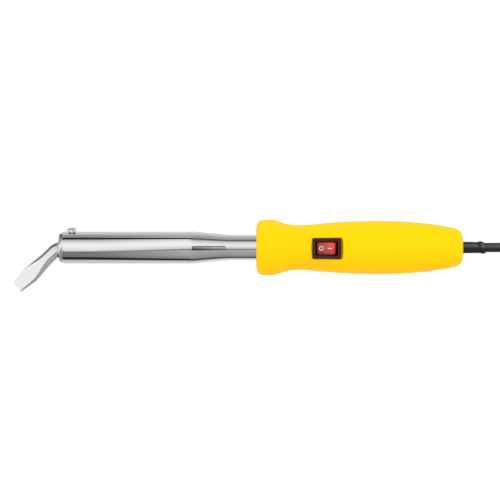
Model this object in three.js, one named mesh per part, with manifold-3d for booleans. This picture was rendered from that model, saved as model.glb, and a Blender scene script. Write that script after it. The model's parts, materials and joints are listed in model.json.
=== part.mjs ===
// A mains soldering iron for stained glass work, lying on its side with the switch up.
// Millimetres. While it is built, x runs along the handle's axis from the handle's front face
// towards the cord, y is sideways and z is up, with the axis at y = z = 0. At the end the whole
// group is moved so that the origin is the middle of the underside of the iron without its cord.

import * as THREE from 'three';
import { mergeVertices } from 'three/addons/utils/BufferGeometryUtils.js';
import Module from 'manifold-3d';

const wasm = await Module();
wasm.setup();

// ---------------------------------------------------------------- driving dimensions

const GAP = 0.3; // between pieces that touch

// Handle
const HANDLE_LENGTH = 148.4;
const FLANGE_R = 20;
const NECK_X = 30;
const NECK_R = 16.1;
const BULGE_X = 90;
const BULGE_R = 19.15;
const FRONT_WALL = 3;
const REAR_WALL_X = 144.8;
const SEAM = 0.15; // half the gap between the two shells

// Barrel, taper and stem are one swaged tube
const TUBE_WALL = 0.9;
const BARREL_R = 11.5;
const BARREL_FRONT = -142;
const TAPER_FRONT = -44.1;
const TAPER_REAR = -19.7;
const STEM_R = 9.15;
const STEM_REAR = 29;
const MOUTH_R = 8.2;
const SLOT_X = [-46.3, -21.5];
const SLOT_WIDTH = 3;
const SLOT_COUNT = 4;

// Soldering bit
const BIT_R = 4.9;
const BIT_REAR = -62;
const BEND_START = -137.2;
const BEND_R = 12.4;
const BEND_ANGLE = THREE.MathUtils.degToRad(44.2);
const BIT_ROLL = THREE.MathUtils.degToRad(26.8);
const SHOULDER = 23.4; // distance past the bend where the ground faces begin
const TIP = 36.4; // distance past the bend to the tip's edge
const TIP_HALF_WIDTH = 4.2;
const TIP_HALF_THICKNESS = 1.15;

// Clamp screw
const CLAMP_X = -132.3;
const CLAMP_TILT = THREE.MathUtils.degToRad(14);
const CLAMP_SHANK_R = 2;
const CLAMP_HEAD_R = 3.6;

// Heater
const BUSH_X = [-137, -127];
const CORE_X = [-126.5, -56];
const CORE_BORE_R = 5.2;
const COIL_X = [-122, -61];
const COIL_R = 8.05;
const COIL_TURNS = 9;
const LEAD_Y = 3.5;

// Rocker switch
const SWITCH_X = 50.4;
const BEZEL = { length: 21, width: 15, height: 2 };
const LAND_Z = 15.7;
const LAND_X = [39.6, 61.2];
const SWITCH_BODY = { length: 18.6, width: 12.3, bottom: 2.5 };
const ROCKER_OPENING = { length: 15.3, width: 9.5 };
const ROCKER_PIVOT_Z = 15.2;
const ROCKER_END_R = 7.05;
const ROCKER_WIDTH = 8.7;
const ROCKER_TILT = THREE.MathUtils.degToRad(12);
const BRIDGE_TILT = THREE.MathUtils.degToRad(9);
const BRIDGE_PIVOT_Z = 6.4;
const TERMINAL_PITCH = 6.3;

// Inside the handle
const BOSSES = [[36, 8.5], [36, -8.5], [112, 9], [112, -9]];
const BOSS_R = 3.2;
const SCREW_R = 1.45;
const BLOCK_X = [84, 100];
const CLAMP_BAR_X = 131;
const CLAMP_BAR_SCREW_Y = 7;
const SLEEVE_X = [134, 164.3];

// Cord, hank and plug
const CORD_R = 3.4;
const FLOOR_Z = -FLANGE_R;
const CORD_LEVEL = 6.85; // height of one layer of the hank
const HANK_Y = -5.8;
const HANK_FOLD_R = 20.6;
const HANK_NEAR_X = 238;
const HANK_RUN = 134;
const HANK_WAIST = 3.6; // half the distance between the two runs at the tie
const TIE = { length: 5, thickness: 0.8 };
const PLUG_X = 427;
const PLUG_Y = -2.2;
const PLUG_R = 19;

// ---------------------------------------------------------------- materials

const finish = (color, roughness, metalness = 0) =>
  new THREE.MeshStandardMaterial({ color, roughness, metalness });

const MATERIALS = {
  chrome: finish(0xd8d8da, 0.15, 1),
  bit: finish(0xe4e4e6, 0.25, 1),
  steel: finish(0xb4b6ba, 0.35, 1),
  brass: finish(0xc8a24a, 0.3, 1),
  yellow: finish(0xffdb1f, 0.4),
  black: finish(0x322a28, 0.45),
  red: finish(0xd84a48, 0.2),
  rubber: finish(0x262626, 0.6),
  mica: finish(0xb9a98c, 0.7),
  ceramic: finish(0xf0ebe0, 0.6),
  resistance: finish(0x8c8880, 0.4, 1),
  copper: finish(0xb87333, 0.35, 1),
  glass: finish(0xffc9a8, 0.1),
  plastic: finish(0xf2efe6, 0.5),
  brown: finish(0x6b4226, 0.5),
  blue: finish(0x2f6fc4, 0.5),
  green: finish(0x4f9a3a, 0.5),
};

// ---------------------------------------------------------------- geometry helpers

// A geometry with only position, its shared vertices merged and no collapsed triangles.
function plain(geometry) {
  const copy = geometry.clone();
  copy.deleteAttribute('normal');
  copy.deleteAttribute('uv');
  const merged = mergeVertices(copy);
  const kept = [];
  const index = merged.index.array;
  for (let i = 0; i < index.length; i += 3) {
    const [a, b, c] = index.slice(i, i + 3);
    if (a !== b && b !== c && c !== a) kept.push(a, b, c);
  }
  merged.setIndex(kept);
  return merged;
}

function solid(geometry) {
  const merged = plain(geometry);
  return new wasm.Manifold(new wasm.Mesh({
    numProp: 3,
    vertProperties: new Float32Array(merged.attributes.position.array),
    triVerts: new Uint32Array(merged.index.array),
  }));
}

function fromSolid(body) {
  const { vertProperties, triVerts } = body.getMesh();
  const geometry = new THREE.BufferGeometry();
  geometry.setAttribute('position', new THREE.BufferAttribute(new Float32Array(vertProperties), 3));
  geometry.setIndex(new THREE.BufferAttribute(new Uint32Array(triVerts), 1));
  return geometry;
}

const cut = (body, tools) => tools.reduce((left, tool) => left.subtract(solid(tool)), body);
const join = (body, tools) => tools.reduce((left, tool) => left.add(solid(tool)), body);

// A solid of revolution about the x axis from [x, radius] pairs, in order of rising x outside.
function revolved(profile, segments = 20) {
  const points = profile.map(([x, r]) => new THREE.Vector2(r, x));
  return new THREE.LatheGeometry(points, segments).rotateZ(-Math.PI / 2);
}

// A round tube along x: the outside first, then back along the bore to the start.
const tube = ([front, rear], outer, inner, segments = 20) => revolved(
  [[front, inner], [front, outer], [rear, outer], [rear, inner], [front, inner]], segments);

const rod = ([front, rear], radius, segments = 12) => revolved(
  [[front, 0], [front, radius], [rear, radius], [rear, 0]], segments);

function box([x0, x1], [y0, y1], [z0, z1]) {
  return new THREE.BoxGeometry(x1 - x0, y1 - y0, z1 - z0)
    .translate((x0 + x1) / 2, (y0 + y1) / 2, (z0 + z1) / 2);
}

function upright(x, y, [z0, z1], radius, segments = 12) {
  return new THREE.CylinderGeometry(radius, radius, z1 - z0, segments)
    .rotateX(Math.PI / 2).translate(x, y, (z0 + z1) / 2);
}

// A turned piece standing along z from [z, radius] pairs.
function turned(x, y, profile, segments = 12) {
  const points = profile.map(([z, r]) => new THREE.Vector2(r, z));
  return new THREE.LatheGeometry(points, segments).rotateX(Math.PI / 2).translate(x, y, 0);
}

function round(radius, sides) {
  const corner = (i) => {
    const angle = (i / sides) * 2 * Math.PI;
    return new THREE.Vector2(radius * Math.cos(angle), radius * Math.sin(angle));
  };
  return new THREE.Shape(Array.from({ length: sides }, (_, i) => corner(i)));
}

// A round cable through the given points.
function cable(points, radius, steps, sides = 6) {
  const path = new THREE.CatmullRomCurve3(points.map((p) => new THREE.Vector3(...p)), false, 'centripetal');
  return new THREE.ExtrudeGeometry(round(radius, sides), { steps, extrudePath: path });
}

class Helix extends THREE.Curve {
  constructor(start, axisX, length, radius, turns) {
    super();
    Object.assign(this, { start, axisX, length, radius, turns });
  }

  getPoint(t, target = new THREE.Vector3()) {
    const angle = t * this.turns * 2 * Math.PI;
    const along = t * this.length;
    const [across, up] = [this.radius * Math.cos(angle), this.radius * Math.sin(angle)];
    const offset = this.axisX ? [along, across, up] : [across, up, along];
    return target.set(...this.start).add(new THREE.Vector3(...offset));
  }
}

const bezier = (...corners) => new THREE.CubicBezierCurve(...corners.map((c) => new THREE.Vector2(...c)));

// ---------------------------------------------------------------- the assembly

const iron = new THREE.Group();
iron.name = 'soldering_iron';
const cordParts = [];

function place(name, geometry, material, group = iron) {
  const mesh = new THREE.Mesh(plain(geometry), MATERIALS[material]);
  mesh.name = name;
  group.add(mesh);
  return mesh;
}

function placeOnCord(...args) {
  cordParts.push(place(...args));
}

// ---------------------------------------------------------------- bit and heater

// The bit's centreline: a straight shank, a bend towards -y, then a straight run to the tip.
function bitStation(along) {
  const bendLength = BEND_R * BEND_ANGLE;
  const angle = THREE.MathUtils.clamp(along / bendLength, 0, 1) * BEND_ANGLE;
  const past = Math.max(along - bendLength, 0);
  const before = Math.min(along, 0);
  return {
    centre: new THREE.Vector3(
      BEND_START - before - BEND_R * Math.sin(angle) - past * Math.cos(angle),
      -BEND_R * (1 - Math.cos(angle)) - past * Math.sin(angle),
      0),
    side: new THREE.Vector3(-Math.sin(angle), Math.cos(angle), 0),
  };
}

// The bit's section, by the distance past the bend: half its thickness between the two flats, how
// far a flat reaches from the middle on its long and on its short side, and half the width across
// the rounded sides.
function bitSection(past) {
  const { smoothstep, lerp } = THREE.MathUtils;
  const flattened = smoothstep(past, -8.5, -5);
  const forged = smoothstep(past, 5, 25);
  const crowned = smoothstep(past, 5, 26);
  const ground = Math.max(past - SHOULDER, 0) / (TIP - SHOULDER);
  const thickness = lerp(lerp(BIT_R * 0.998, 4.12, flattened), 2.85, forged);
  const longSide = lerp(lerp(BIT_R * 0.06, 2.65, flattened), 5.95, forged);
  const shortSide = lerp(lerp(BIT_R * 0.06, 1, flattened), 5.8, crowned);
  const side = lerp(lerp(BIT_R, 5.1, flattened), 6.65, forged);
  return {
    thickness: lerp(thickness, TIP_HALF_THICKNESS, ground),
    longSide: lerp(longSide, TIP_HALF_WIDTH, ground),
    shortSide: lerp(shortSide, TIP_HALF_WIDTH, ground),
    side: lerp(side, TIP_HALF_WIDTH + 0.2, ground),
  };
}

// [u, v] pairs round the section: a flat, a rounded side, the other flat and the other side.
function bitOutline(past, flatSteps, sideSteps) {
  const { thickness, longSide, shortSide, side } = bitSection(past);
  const half = [];
  for (let i = 0; i < flatSteps; i += 1) {
    half.push([shortSide - ((shortSide + longSide) * i) / flatSteps, thickness]);
  }
  [[longSide, 1], [shortSide, -1]].forEach(([reach, up]) => {
    const height = thickness / Math.sqrt(1 - (reach / side) ** 2);
    const crease = Math.asin(thickness / height);
    for (let i = 0; i < sideSteps; i += 1) {
      const share = up > 0 ? 1 - i / sideSteps : i / sideSteps;
      half.push([-side * Math.cos(crease * share), up * height * Math.sin(crease * share)]);
    }
  });
  return [...half, ...half.map(([u, v]) => [-u, -v])];
}

function makeBit() {
  const [flatSteps, sideSteps] = [2, 4];
  const around = 2 * (flatSteps + 2 * sideSteps);
  const bendLength = BEND_R * BEND_ANGLE;
  const stations = [BEND_START - BIT_REAR, BEND_START - BIT_REAR + 1]
    .concat([0, 0.15, 0.3, 0.5, 0.75, 1].map((t) => t * bendLength))
    .concat([5, 8, 11, 14, 17, 20, SHOULDER, 28, 32.5, TIP].map((past) => bendLength + past));
  const positions = [];
  const ring = (along, shrink = 1) => {
    const { centre, side } = bitStation(along);
    bitOutline(along - bendLength, flatSteps, sideSteps).forEach(([u, v]) => {
      const across = shrink * (u * Math.cos(BIT_ROLL) + v * Math.sin(BIT_ROLL));
      const up = shrink * (-u * Math.sin(BIT_ROLL) + v * Math.cos(BIT_ROLL));
      positions.push(centre.x + across * side.x, centre.y + across * side.y, up);
    });
  };
  ring(stations[0], 0.85);
  stations.slice(1).forEach((along) => ring(along));
  const ends = [bitStation(stations[0]).centre, bitStation(stations.at(-1)).centre];
  ends.forEach((p) => positions.push(p.x, p.y, p.z));

  const index = [];
  const last = stations.length - 1;
  for (let i = 0; i < around; i += 1) {
    const next = (i + 1) % around;
    for (let s = 0; s < last; s += 1) {
      const [a, b] = [s * around, (s + 1) * around];
      index.push(a + i, b + i, a + next, a + next, b + i, b + next);
    }
    index.push(positions.length / 3 - 2, i, next);
    index.push(positions.length / 3 - 1, last * around + next, last * around + i);
  }
  const geometry = new THREE.BufferGeometry();
  geometry.setAttribute('position', new THREE.Float32BufferAttribute(positions, 3));
  geometry.setIndex(index);
  place('soldering_bit', geometry, 'bit');
}

// A cylinder on the clamp screw's axis, between two distances from the barrel's axis.
function clampCylinder([inside, outside], radius, segments = 20) {
  return new THREE.CylinderGeometry(radius, radius, outside - inside, segments)
    .translate(0, (inside + outside) / 2, 0).rotateX(CLAMP_TILT).translate(CLAMP_X, 0, 0);
}

function makeClampScrew() {
  const shank = [BIT_R + GAP, BARREL_R + 0.5];
  const head = [BARREL_R + 0.45, BARREL_R + 2.4];
  const crown = head[1] + 0.5;
  const recess = (turn) => new THREE.BoxGeometry(3.6, 2.2, 0.8)
    .rotateY(turn).translate(0, crown, 0).rotateX(CLAMP_TILT).translate(CLAMP_X, 0, 0);
  const profile = [[0, head[0]], [CLAMP_HEAD_R, head[0]], [CLAMP_HEAD_R, head[1] - 0.8],
    [CLAMP_HEAD_R - 0.5, head[1]], [CLAMP_HEAD_R - 1.6, crown], [0, crown]];
  const cap = new THREE.LatheGeometry(profile.map(([r, y]) => new THREE.Vector2(r, y)), 24)
    .rotateX(CLAMP_TILT).translate(CLAMP_X, 0, 0);
  const blank = join(solid(cap), [clampCylinder(shank, CLAMP_SHANK_R)]);
  const screw = cut(blank, [recess(0), recess(Math.PI / 2)]);
  place('bit_clamp_screw', fromSolid(screw), 'steel');
}

function makeBarrel() {
  const inner = BARREL_R - TUBE_WALL;
  const stemBore = STEM_R - TUBE_WALL;
  const profile = [
    [BARREL_FRONT, MOUTH_R], [BARREL_FRONT + 0.3, 9.4], [BARREL_FRONT + 1.1, 10.6],
    [BARREL_FRONT + 2.3, 11.3], [BARREL_FRONT + 3.8, BARREL_R], [TAPER_FRONT, BARREL_R],
    [TAPER_FRONT + 8, 10.65], [TAPER_FRONT + 16, 9.85], [TAPER_REAR, STEM_R], [STEM_REAR, STEM_R],
    [STEM_REAR, stemBore], [TAPER_REAR - 0.3, stemBore], [TAPER_FRONT + 15.8, 8.95],
    [TAPER_FRONT + 7.8, 9.75], [TAPER_FRONT - 0.2, inner], [BARREL_FRONT + 3.8, inner],
    [BARREL_FRONT + 1.9, 9.9], [BARREL_FRONT + 1, MOUTH_R], [BARREL_FRONT, MOUTH_R],
  ];
  const [slotFront, slotRear] = SLOT_X;
  const halfSlot = SLOT_WIDTH / 2;
  const slots = Array.from({ length: SLOT_COUNT }, (_, i) => {
    const bar = solid(box([slotFront + halfSlot, slotRear - halfSlot], [-halfSlot, halfSlot], [7.5, 14]));
    const ends = [slotFront + halfSlot, slotRear - halfSlot];
    const ended = join(bar, ends.map((x) => upright(x, 0, [7.5, 14], halfSlot, 8)));
    return fromSolid(ended).rotateX((i * 2 * Math.PI) / SLOT_COUNT);
  });
  const screwHole = clampCylinder([8, 14], CLAMP_SHANK_R + GAP);
  place('heater_barrel', fromSolid(cut(solid(revolved(profile, 28)), [...slots, screwHole])), 'chrome');
}

function makeHeater() {
  const bush = cut(solid(tube(BUSH_X, BARREL_R - TUBE_WALL - GAP, CORE_BORE_R)),
    [clampCylinder([4, 12], CLAMP_SHANK_R + GAP)]);
  place('nose_bush', fromSolid(bush), 'steel');
  place('heater_core_tube', tube(CORE_X, 6.2, CORE_BORE_R), 'steel');
  place('mica_inner_sleeve', tube([-124, -58], 7, 6.5), 'mica');
  const helix = new Helix([COIL_X[0], 0, 0], true, COIL_X[1] - COIL_X[0], COIL_R, COIL_TURNS);
  const coil = new THREE.ExtrudeGeometry(round(0.6, 4), { steps: COIL_TURNS * 9, extrudePath: helix });
  place('heating_coil', coil, 'resistance');
  place('mica_outer_sleeve', tube([-124, -58], 9.6, 9.1), 'mica');
  const leadHoles = [1, -1].map((side) => rod([-60, -48], 1.9, 12).translate(0, side * LEAD_Y, 0));
  place('rear_ceramic_disc', fromSolid(cut(solid(rod([-55, -50.5], 10.2, 20)), leadHoles)), 'ceramic');
  place('lead_guide_tube', tube([-49.5, 26], 7, 6.2), 'steel');
  [['live', 1], ['neutral', -1]].forEach(([name, side]) => {
    place(`lead_sleeve_${name}`, rod([-57, 32], 1.6, 12).translate(0, side * LEAD_Y, 0), 'ceramic');
    place(`lead_crimp_${name}`, rod([32.3, 38.6], 1.5, 12).translate(0, side * LEAD_Y, 0), 'copper');
  });
}

// ---------------------------------------------------------------- handle

// [x, radius] pairs of the handle's outside, from the front face to the rear face.
function handleProfile() {
  const parts = [
    [bezier([0, 13.2], [0.6, 19.4], [2.8, FLANGE_R], [7, FLANGE_R]), 4],
    [bezier([11, FLANGE_R], [16.4, FLANGE_R], [19.5, NECK_R], [NECK_X, NECK_R]), 5],
    [bezier([NECK_X, NECK_R], [44.2, NECK_R], [51.6, BULGE_R], [BULGE_X, BULGE_R]), 6],
    [bezier([BULGE_X, BULGE_R], [112.8, BULGE_R], [129.9, 16.6], [141.5, 14.3]), 5],
    [bezier([141.5, 14.3], [146.2, 13.4], [HANDLE_LENGTH, 11.5], [HANDLE_LENGTH, 7.5]), 4],
  ];
  const points = [];
  parts.forEach(([curve, divisions]) => {
    const added = curve.getPoints(divisions).map((p) => [p.x, p.y]);
    const previous = points.at(-1);
    const joins = previous && Math.hypot(previous[0] - added[0][0], previous[1] - added[0][1]) < 0.01;
    points.push(...(joins ? added.slice(1) : added));
  });
  return points;
}

// The hollow inside both shells: stem bore, collar groove, cable bay, sleeve groove and cord hole.
function handleHollow() {
  const stemHole = STEM_R + GAP;
  return revolved([
    [-1, 0], [-1, stemHole], [FRONT_WALL, stemHole], [FRONT_WALL, 16.8], [11, 16.8], [11.8, stemHole],
    [14.5, stemHole], [14.5, 13.3], [17.5, 13.3], [17.5, stemHole], [20, stemHole], [20, 13.5], [30, 13.4],
    [60, 15.2], [90, 16.4], [115, 15.4], [138, 12], [138, 5], [141, 5], [141, 10.4], [REAR_WALL_X, 9.9],
    [REAR_WALL_X, 4.6], [HANDLE_LENGTH + 1, 4.6], [HANDLE_LENGTH + 1, 0],
  ], 16);
}

function makeHandle() {
  const profile = handleProfile();
  const outside = solid(revolved([[profile[0][0], 0], ...profile, [profile.at(-1)[0], 0]], 32));
  const bay = (low, high) => solid(box([-5, HANDLE_LENGTH + 5], [-30, 30], [low, high]));
  const walls = cut(outside, [handleHollow()]);
  const columns = (low, high) => BOSSES.map(([x, y]) => upright(x, y, [low, high], BOSS_R));
  const bored = (radius, low, high) => BOSSES.map(([x, y]) => upright(x, y, [low, high], radius));

  const halfBezel = BEZEL.width / 2;
  const pad = box([LAND_X[0] - 0.5, LAND_X[1] + 0.5], [-halfBezel - 0.4, halfBezel + 0.4], [12.5, LAND_Z]);
  const pocket = box(LAND_X, [-halfBezel - 0.4, halfBezel + 0.4], [LAND_Z, 25]);
  const hole = box(
    [SWITCH_X - SWITCH_BODY.length / 2 - GAP, SWITCH_X + SWITCH_BODY.length / 2 + GAP],
    [-SWITCH_BODY.width / 2 - GAP, SWITCH_BODY.width / 2 + GAP], [0, 25]);
  let top = walls.add(join(solid(pad), columns(SEAM, 14)).intersect(outside.add(solid(pad))));
  top = cut(top, [pocket, hole, ...bored(SCREW_R + GAP, -1, 8.5)]).intersect(bay(SEAM, 30));
  place('handle_top_shell', fromSolid(top), 'yellow');

  const headSeat = -9.5;
  const rests = [
    box([86, 98], [-3, 3], [-17, -6.3]),
    box([CLAMP_BAR_X - 3, CLAMP_BAR_X + 3], [-4, 4], [-15, -CORD_R - GAP]),
  ];
  let bottom = walls.add(join(solid(rests[0]), [rests[1], ...columns(-17, -SEAM)]).intersect(outside));
  bottom = cut(bottom, [...bored(SCREW_R + GAP, -20, 1), ...bored(3, -25, headSeat)]);
  bottom = bottom.intersect(bay(-30, -SEAM));
  const atClampScrews = (span, radius) => [1, -1].map(
    (side) => upright(CLAMP_BAR_X, side * CLAMP_BAR_SCREW_Y, span, radius));
  bottom = join(bottom, atClampScrews([-9.5, CORD_R - GAP], 2.6));
  bottom = cut(bottom, atClampScrews([-3.5, 5], 1.5));
  place('handle_bottom_shell', fromSolid(bottom), 'yellow');

  BOSSES.forEach(([x, y], i) => {
    const profileUp = [[headSeat - 2.4, 0], [headSeat - 2.4, 1.9], [headSeat - 1.9, 2.7],
      [headSeat - GAP, 2.7], [headSeat - GAP, SCREW_R], [7.4, SCREW_R], [8.2, 0.5], [8.2, 0]];
    const slot = (turn) => new THREE.BoxGeometry(2.6, 0.7, 1.8)
      .rotateZ(turn).translate(x, y, headSeat - 2.4);
    const screw = cut(solid(turned(x, y, profileUp, 12)), [slot(0.4), slot(0.4 + Math.PI / 2)]);
    place(`shell_screw_${i + 1}`, fromSolid(screw), 'steel');
  });
}

function makeStemFixing() {
  place('stem_collar', tube([14.8, 17.2], 13, STEM_R + GAP), 'steel');
  const tag = cut(solid(box([22.2, 28.2], [-2.6, 2.6], [-STEM_R - 1.1, -STEM_R - GAP])),
    [upright(25, 0, [-14, -6], 1.8)]);
  place('earth_tag', fromSolid(tag), 'brass');
  const head = -STEM_R - 1.1 - GAP;
  place('earth_screw', turned(25, 0, [[head - 1.8, 0], [head - 1.8, 2], [head - 1.2, 2.5],
    [head, 2.5], [head, 1.5], [-STEM_R - GAP, 1.5], [-STEM_R - GAP, 0]]), 'steel');
}

// ---------------------------------------------------------------- rocker switch

// The rocker's side view about its pivot, level, from [x, z] pairs.
function rockerOutline(endR, endLow, endHigh, dip) {
  const { degToRad } = THREE.MathUtils;
  const shape = new THREE.Shape();
  shape.moveTo(-endR * Math.cos(degToRad(endLow)), endR * Math.sin(degToRad(endLow)));
  shape.lineTo(endR * Math.cos(degToRad(endLow)), endR * Math.sin(degToRad(endLow)));
  shape.absarc(0, 0, endR, degToRad(endLow), degToRad(endHigh), false);
  const [x, z] = [endR * Math.cos(degToRad(endHigh)), endR * Math.sin(degToRad(endHigh))];
  shape.quadraticCurveTo(x * 0.45, z - dip, 0, z - dip);
  shape.quadraticCurveTo(-x * 0.45, z - dip, -x, z);
  shape.absarc(0, 0, endR, degToRad(180 - endHigh), degToRad(180 - endLow), false);
  return shape;
}

// An outline drawn in x and z, extruded evenly about y = 0.
function sideExtrusion(shape, width, curveSegments = 5) {
  return new THREE.ExtrudeGeometry(shape, { depth: width, bevelEnabled: false, curveSegments })
    .translate(0, 0, -width / 2).rotateX(Math.PI / 2);
}

function makeRocker() {
  const wall = 1.1;
  const shell = solid(sideExtrusion(rockerOutline(ROCKER_END_R, -14, 30, 1.5), ROCKER_WIDTH));
  const hollow = sideExtrusion(rockerOutline(ROCKER_END_R - wall, -60, 26, 1.5), ROCKER_WIDTH - 2 * wall)
    .translate(0, 0, -0.3);
  const stem = upright(0, 0, [-5.2, 2], 2.2, 16);
  const stemBore = upright(0, 0, [-9, -0.8], 1.5, 16);
  const trunnions = new THREE.CylinderGeometry(1.2, 1.2, ROCKER_WIDTH + 1.6, 24);
  const lampRoom = box([-5.2, -2.6], [-2.4, 2.4], [-9, 1.2]);
  let rocker = join(cut(shell, [hollow]), [stem, trunnions]);
  rocker = cut(rocker, [stemBore, lampRoom]);
  const tilted = (geometry) => geometry.rotateY(-ROCKER_TILT).translate(SWITCH_X, 0, ROCKER_PIVOT_Z);
  place('switch_rocker', tilted(fromSolid(rocker)), 'red');
  const plunger = turned(0, 0, [[-7.5, 0], [-7.2, 0.8], [-6.4, 1.2], [-4.2, 1.2], [-4.2, 0]]);
  place('switch_plunger', tilted(plunger), 'plastic');
  const helix = new Helix([0, 0, -3.8], false, 2.6, 0.95, 4);
  const spring = new THREE.ExtrudeGeometry(round(0.2, 4), { steps: 32, extrudePath: helix });
  place('plunger_spring', tilted(spring), 'steel');
  const lamp = new THREE.CapsuleGeometry(1, 4.4, 3, 12).translate(-4, 0, -0.9);
  place('neon_lamp', tilted(lamp), 'glass');
}

function makeSwitchHousing() {
  const [halfL, halfW] = [BEZEL.length / 2, BEZEL.width / 2];
  const bezelZ = [LAND_Z + 0.1, LAND_Z + 0.1 + BEZEL.height];
  const rim = new THREE.Shape();
  const corner = 1.2;
  rim.moveTo(-halfL + corner, -halfW);
  rim.lineTo(halfL - corner, -halfW);
  rim.absarc(halfL - corner, -halfW + corner, corner, -Math.PI / 2, 0, false);
  rim.lineTo(halfL, halfW - corner);
  rim.absarc(halfL - corner, halfW - corner, corner, 0, Math.PI / 2, false);
  rim.lineTo(-halfL + corner, halfW);
  rim.absarc(-halfL + corner, halfW - corner, corner, Math.PI / 2, Math.PI, false);
  rim.lineTo(-halfL, -halfW + corner);
  rim.absarc(-halfL + corner, -halfW + corner, corner, Math.PI, 1.5 * Math.PI, false);
  const bevel = 0.4;
  const bezel = new THREE.ExtrudeGeometry(rim, {
    depth: BEZEL.height - 2 * bevel, bevelThickness: bevel, bevelSize: bevel, bevelOffset: -bevel,
    bevelSegments: 2, curveSegments: 3,
  }).translate(SWITCH_X, 0, bezelZ[0] + bevel);
  const about = (length) => [SWITCH_X - length / 2, SWITCH_X + length / 2];
  const across = (width) => [-width / 2, width / 2];
  const body = box(about(SWITCH_BODY.length), across(SWITCH_BODY.width),
    [SWITCH_BODY.bottom, bezelZ[0] + 0.5]);
  const well = box(about(ROCKER_OPENING.length), across(ROCKER_OPENING.width), [4.2, 25]);
  const pivotHole = new THREE.CylinderGeometry(1.28, 1.28, ROCKER_WIDTH + 2.2, 24)
    .translate(SWITCH_X, 0, ROCKER_PIVOT_Z);
  const tabSlots = [-1, 0, 1].map(
    (side) => box(about(1.4).map((x) => x + side * TERMINAL_PITCH), across(5.4), [0, 6]));
  const housing = cut(join(solid(bezel), [body]), [well, pivotHole, ...tabSlots]);
  place('switch_housing', fromSolid(housing), 'black');
}

function makeContacts() {
  const strip = box([-6, 6], [-1.5, 1.5], [-0.3, 0.3]).rotateY(BRIDGE_TILT);
  place('contact_bridge', strip.translate(SWITCH_X, 0, BRIDGE_PIVOT_Z + 0.3), 'copper');
  [['load', -1, 4.9], ['supply', 0, 5.7], ['lamp', 1, 4.4]].forEach(([name, side, top]) => {
    const x = SWITCH_X + side * TERMINAL_PITCH;
    place(`terminal_${name}`, box([x - 0.4, x + 0.4], [-2.4, 2.4], [-6, top]), 'brass');
  });
}

// ---------------------------------------------------------------- wiring inside the handle

function makeWiring() {
  const tabEnd = -6.4;
  const wire = (name, material, points, radius = 1) =>
    place(name, cable(points, radius, points.length * 2), material);
  const supplyX = SWITCH_X;
  const lampX = SWITCH_X + TERMINAL_PITCH;
  const loadX = SWITCH_X - TERMINAL_PITCH;
  wire('wire_supply', 'brown', [[supplyX, 0, tabEnd], [supplyX + 0.4, 0.4, -8.6], [53.5, 2, -10.2],
    [60, 4, -9.6], [72, 6, -5], [79, 6.5, -1.8], [BLOCK_X[0] - GAP, 6.5, -1]]);
  wire('wire_lamp', 'blue', [[lampX, 0, tabEnd], [lampX + 0.3, -0.4, -8], [60.4, -2, -9.2],
    [66, -4, -7.6], [74, -5.2, -3.6], [79, -5.2, -1.6], [BLOCK_X[0] - GAP, -5.2, -1]]);
  wire('wire_load', 'brown', [[loadX, 0, tabEnd], [loadX - 0.3, 0.3, -8.2], [43.6, 1.2, -9], [42.6, 2.4, -8],
    [42.4, 3.2, -5], [41.6, LEAD_Y, -1.6], [40.4, LEAD_Y, -0.1], [38.9, LEAD_Y, 0]]);
  wire('wire_neutral', 'blue', [[BLOCK_X[0] - GAP, -7.9, -1], [78, -8.6, -1.8], [66, -9.6, -4.4],
    [54, -9.4, -6], [47, -7.6, -5.6], [43, -5, -2.8], [40.6, -LEAD_Y - 0.1, -0.1], [38.9, -LEAD_Y, 0]]);
  wire('wire_earth', 'green', [[BLOCK_X[0] - GAP, 0, -3.2], [82, 0, -3.4], [78, 0, -5.8],
    [72, 0.2, -9.6], [64, 0.3, -12], [52, 0.3, -12.7], [40, 0.1, -12], [33, 0, -11.2], [28.6, 0, -10]]);
  const sheathEnd = 125.4;
  const cores = [
    ['live', 'brown', 1.7, -1, 6.5, -1],
    ['neutral', 'blue', -1.7, -1, -6.5, -1],
    ['earth', 'green', 0, 1.95, 0, 1.2],
  ];
  cores.forEach(([name, material, y, z, blockY, blockZ]) => {
    wire(`core_${name}`, material, [[sheathEnd, y, z], [119, y * 1.4, z], [112, y * 2.2, z],
      [105, (y + blockY) * 0.6, (z + blockZ) / 2], [BLOCK_X[1] + GAP, blockY, blockZ]], 1.15);
  });
}

function makeBlockAndClamp() {
  const poles = [6.5, 0, -6.5];
  const block = cut(solid(box(BLOCK_X, [-10, 10], [-6, 5])), poles.map((y) => upright(92, y, [-1, 7], 2)));
  place('terminal_block', fromSolid(block), 'plastic');
  poles.forEach((y, i) => {
    const slot = box([90, 94], [y - 0.3, y + 0.3], [3.3, 5]);
    const screw = cut(solid(upright(92, y, [-0.7, 4], 1.6, 12)), [slot]);
    place(`block_screw_${i + 1}`, fromSolid(screw), 'brass');
  });
  const barZ = [CORD_R + GAP, CORD_R + GAP + 2.4];
  const bar = cut(solid(box([CLAMP_BAR_X - 3, CLAMP_BAR_X + 3], [-9.6, 9.6], barZ)),
    [1, -1].map((side) => upright(CLAMP_BAR_X, side * CLAMP_BAR_SCREW_Y, [0, 10], 1.5)));
  place('cord_clamp_bar', fromSolid(bar), 'black');
  [1, -1].forEach((side, i) => {
    const head = barZ[1] + GAP;
    const profile = [[-3, 0], [-3, 0.5], [-2.4, 1.2], [head, 1.2], [head, 2.2], [head + 1, 2.2],
      [head + 1.4, 1.6], [head + 1.4, 0]];
    place(`clamp_bar_screw_${i + 1}`, turned(CLAMP_BAR_X, side * CLAMP_BAR_SCREW_Y, profile), 'steel');
  });
}

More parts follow.
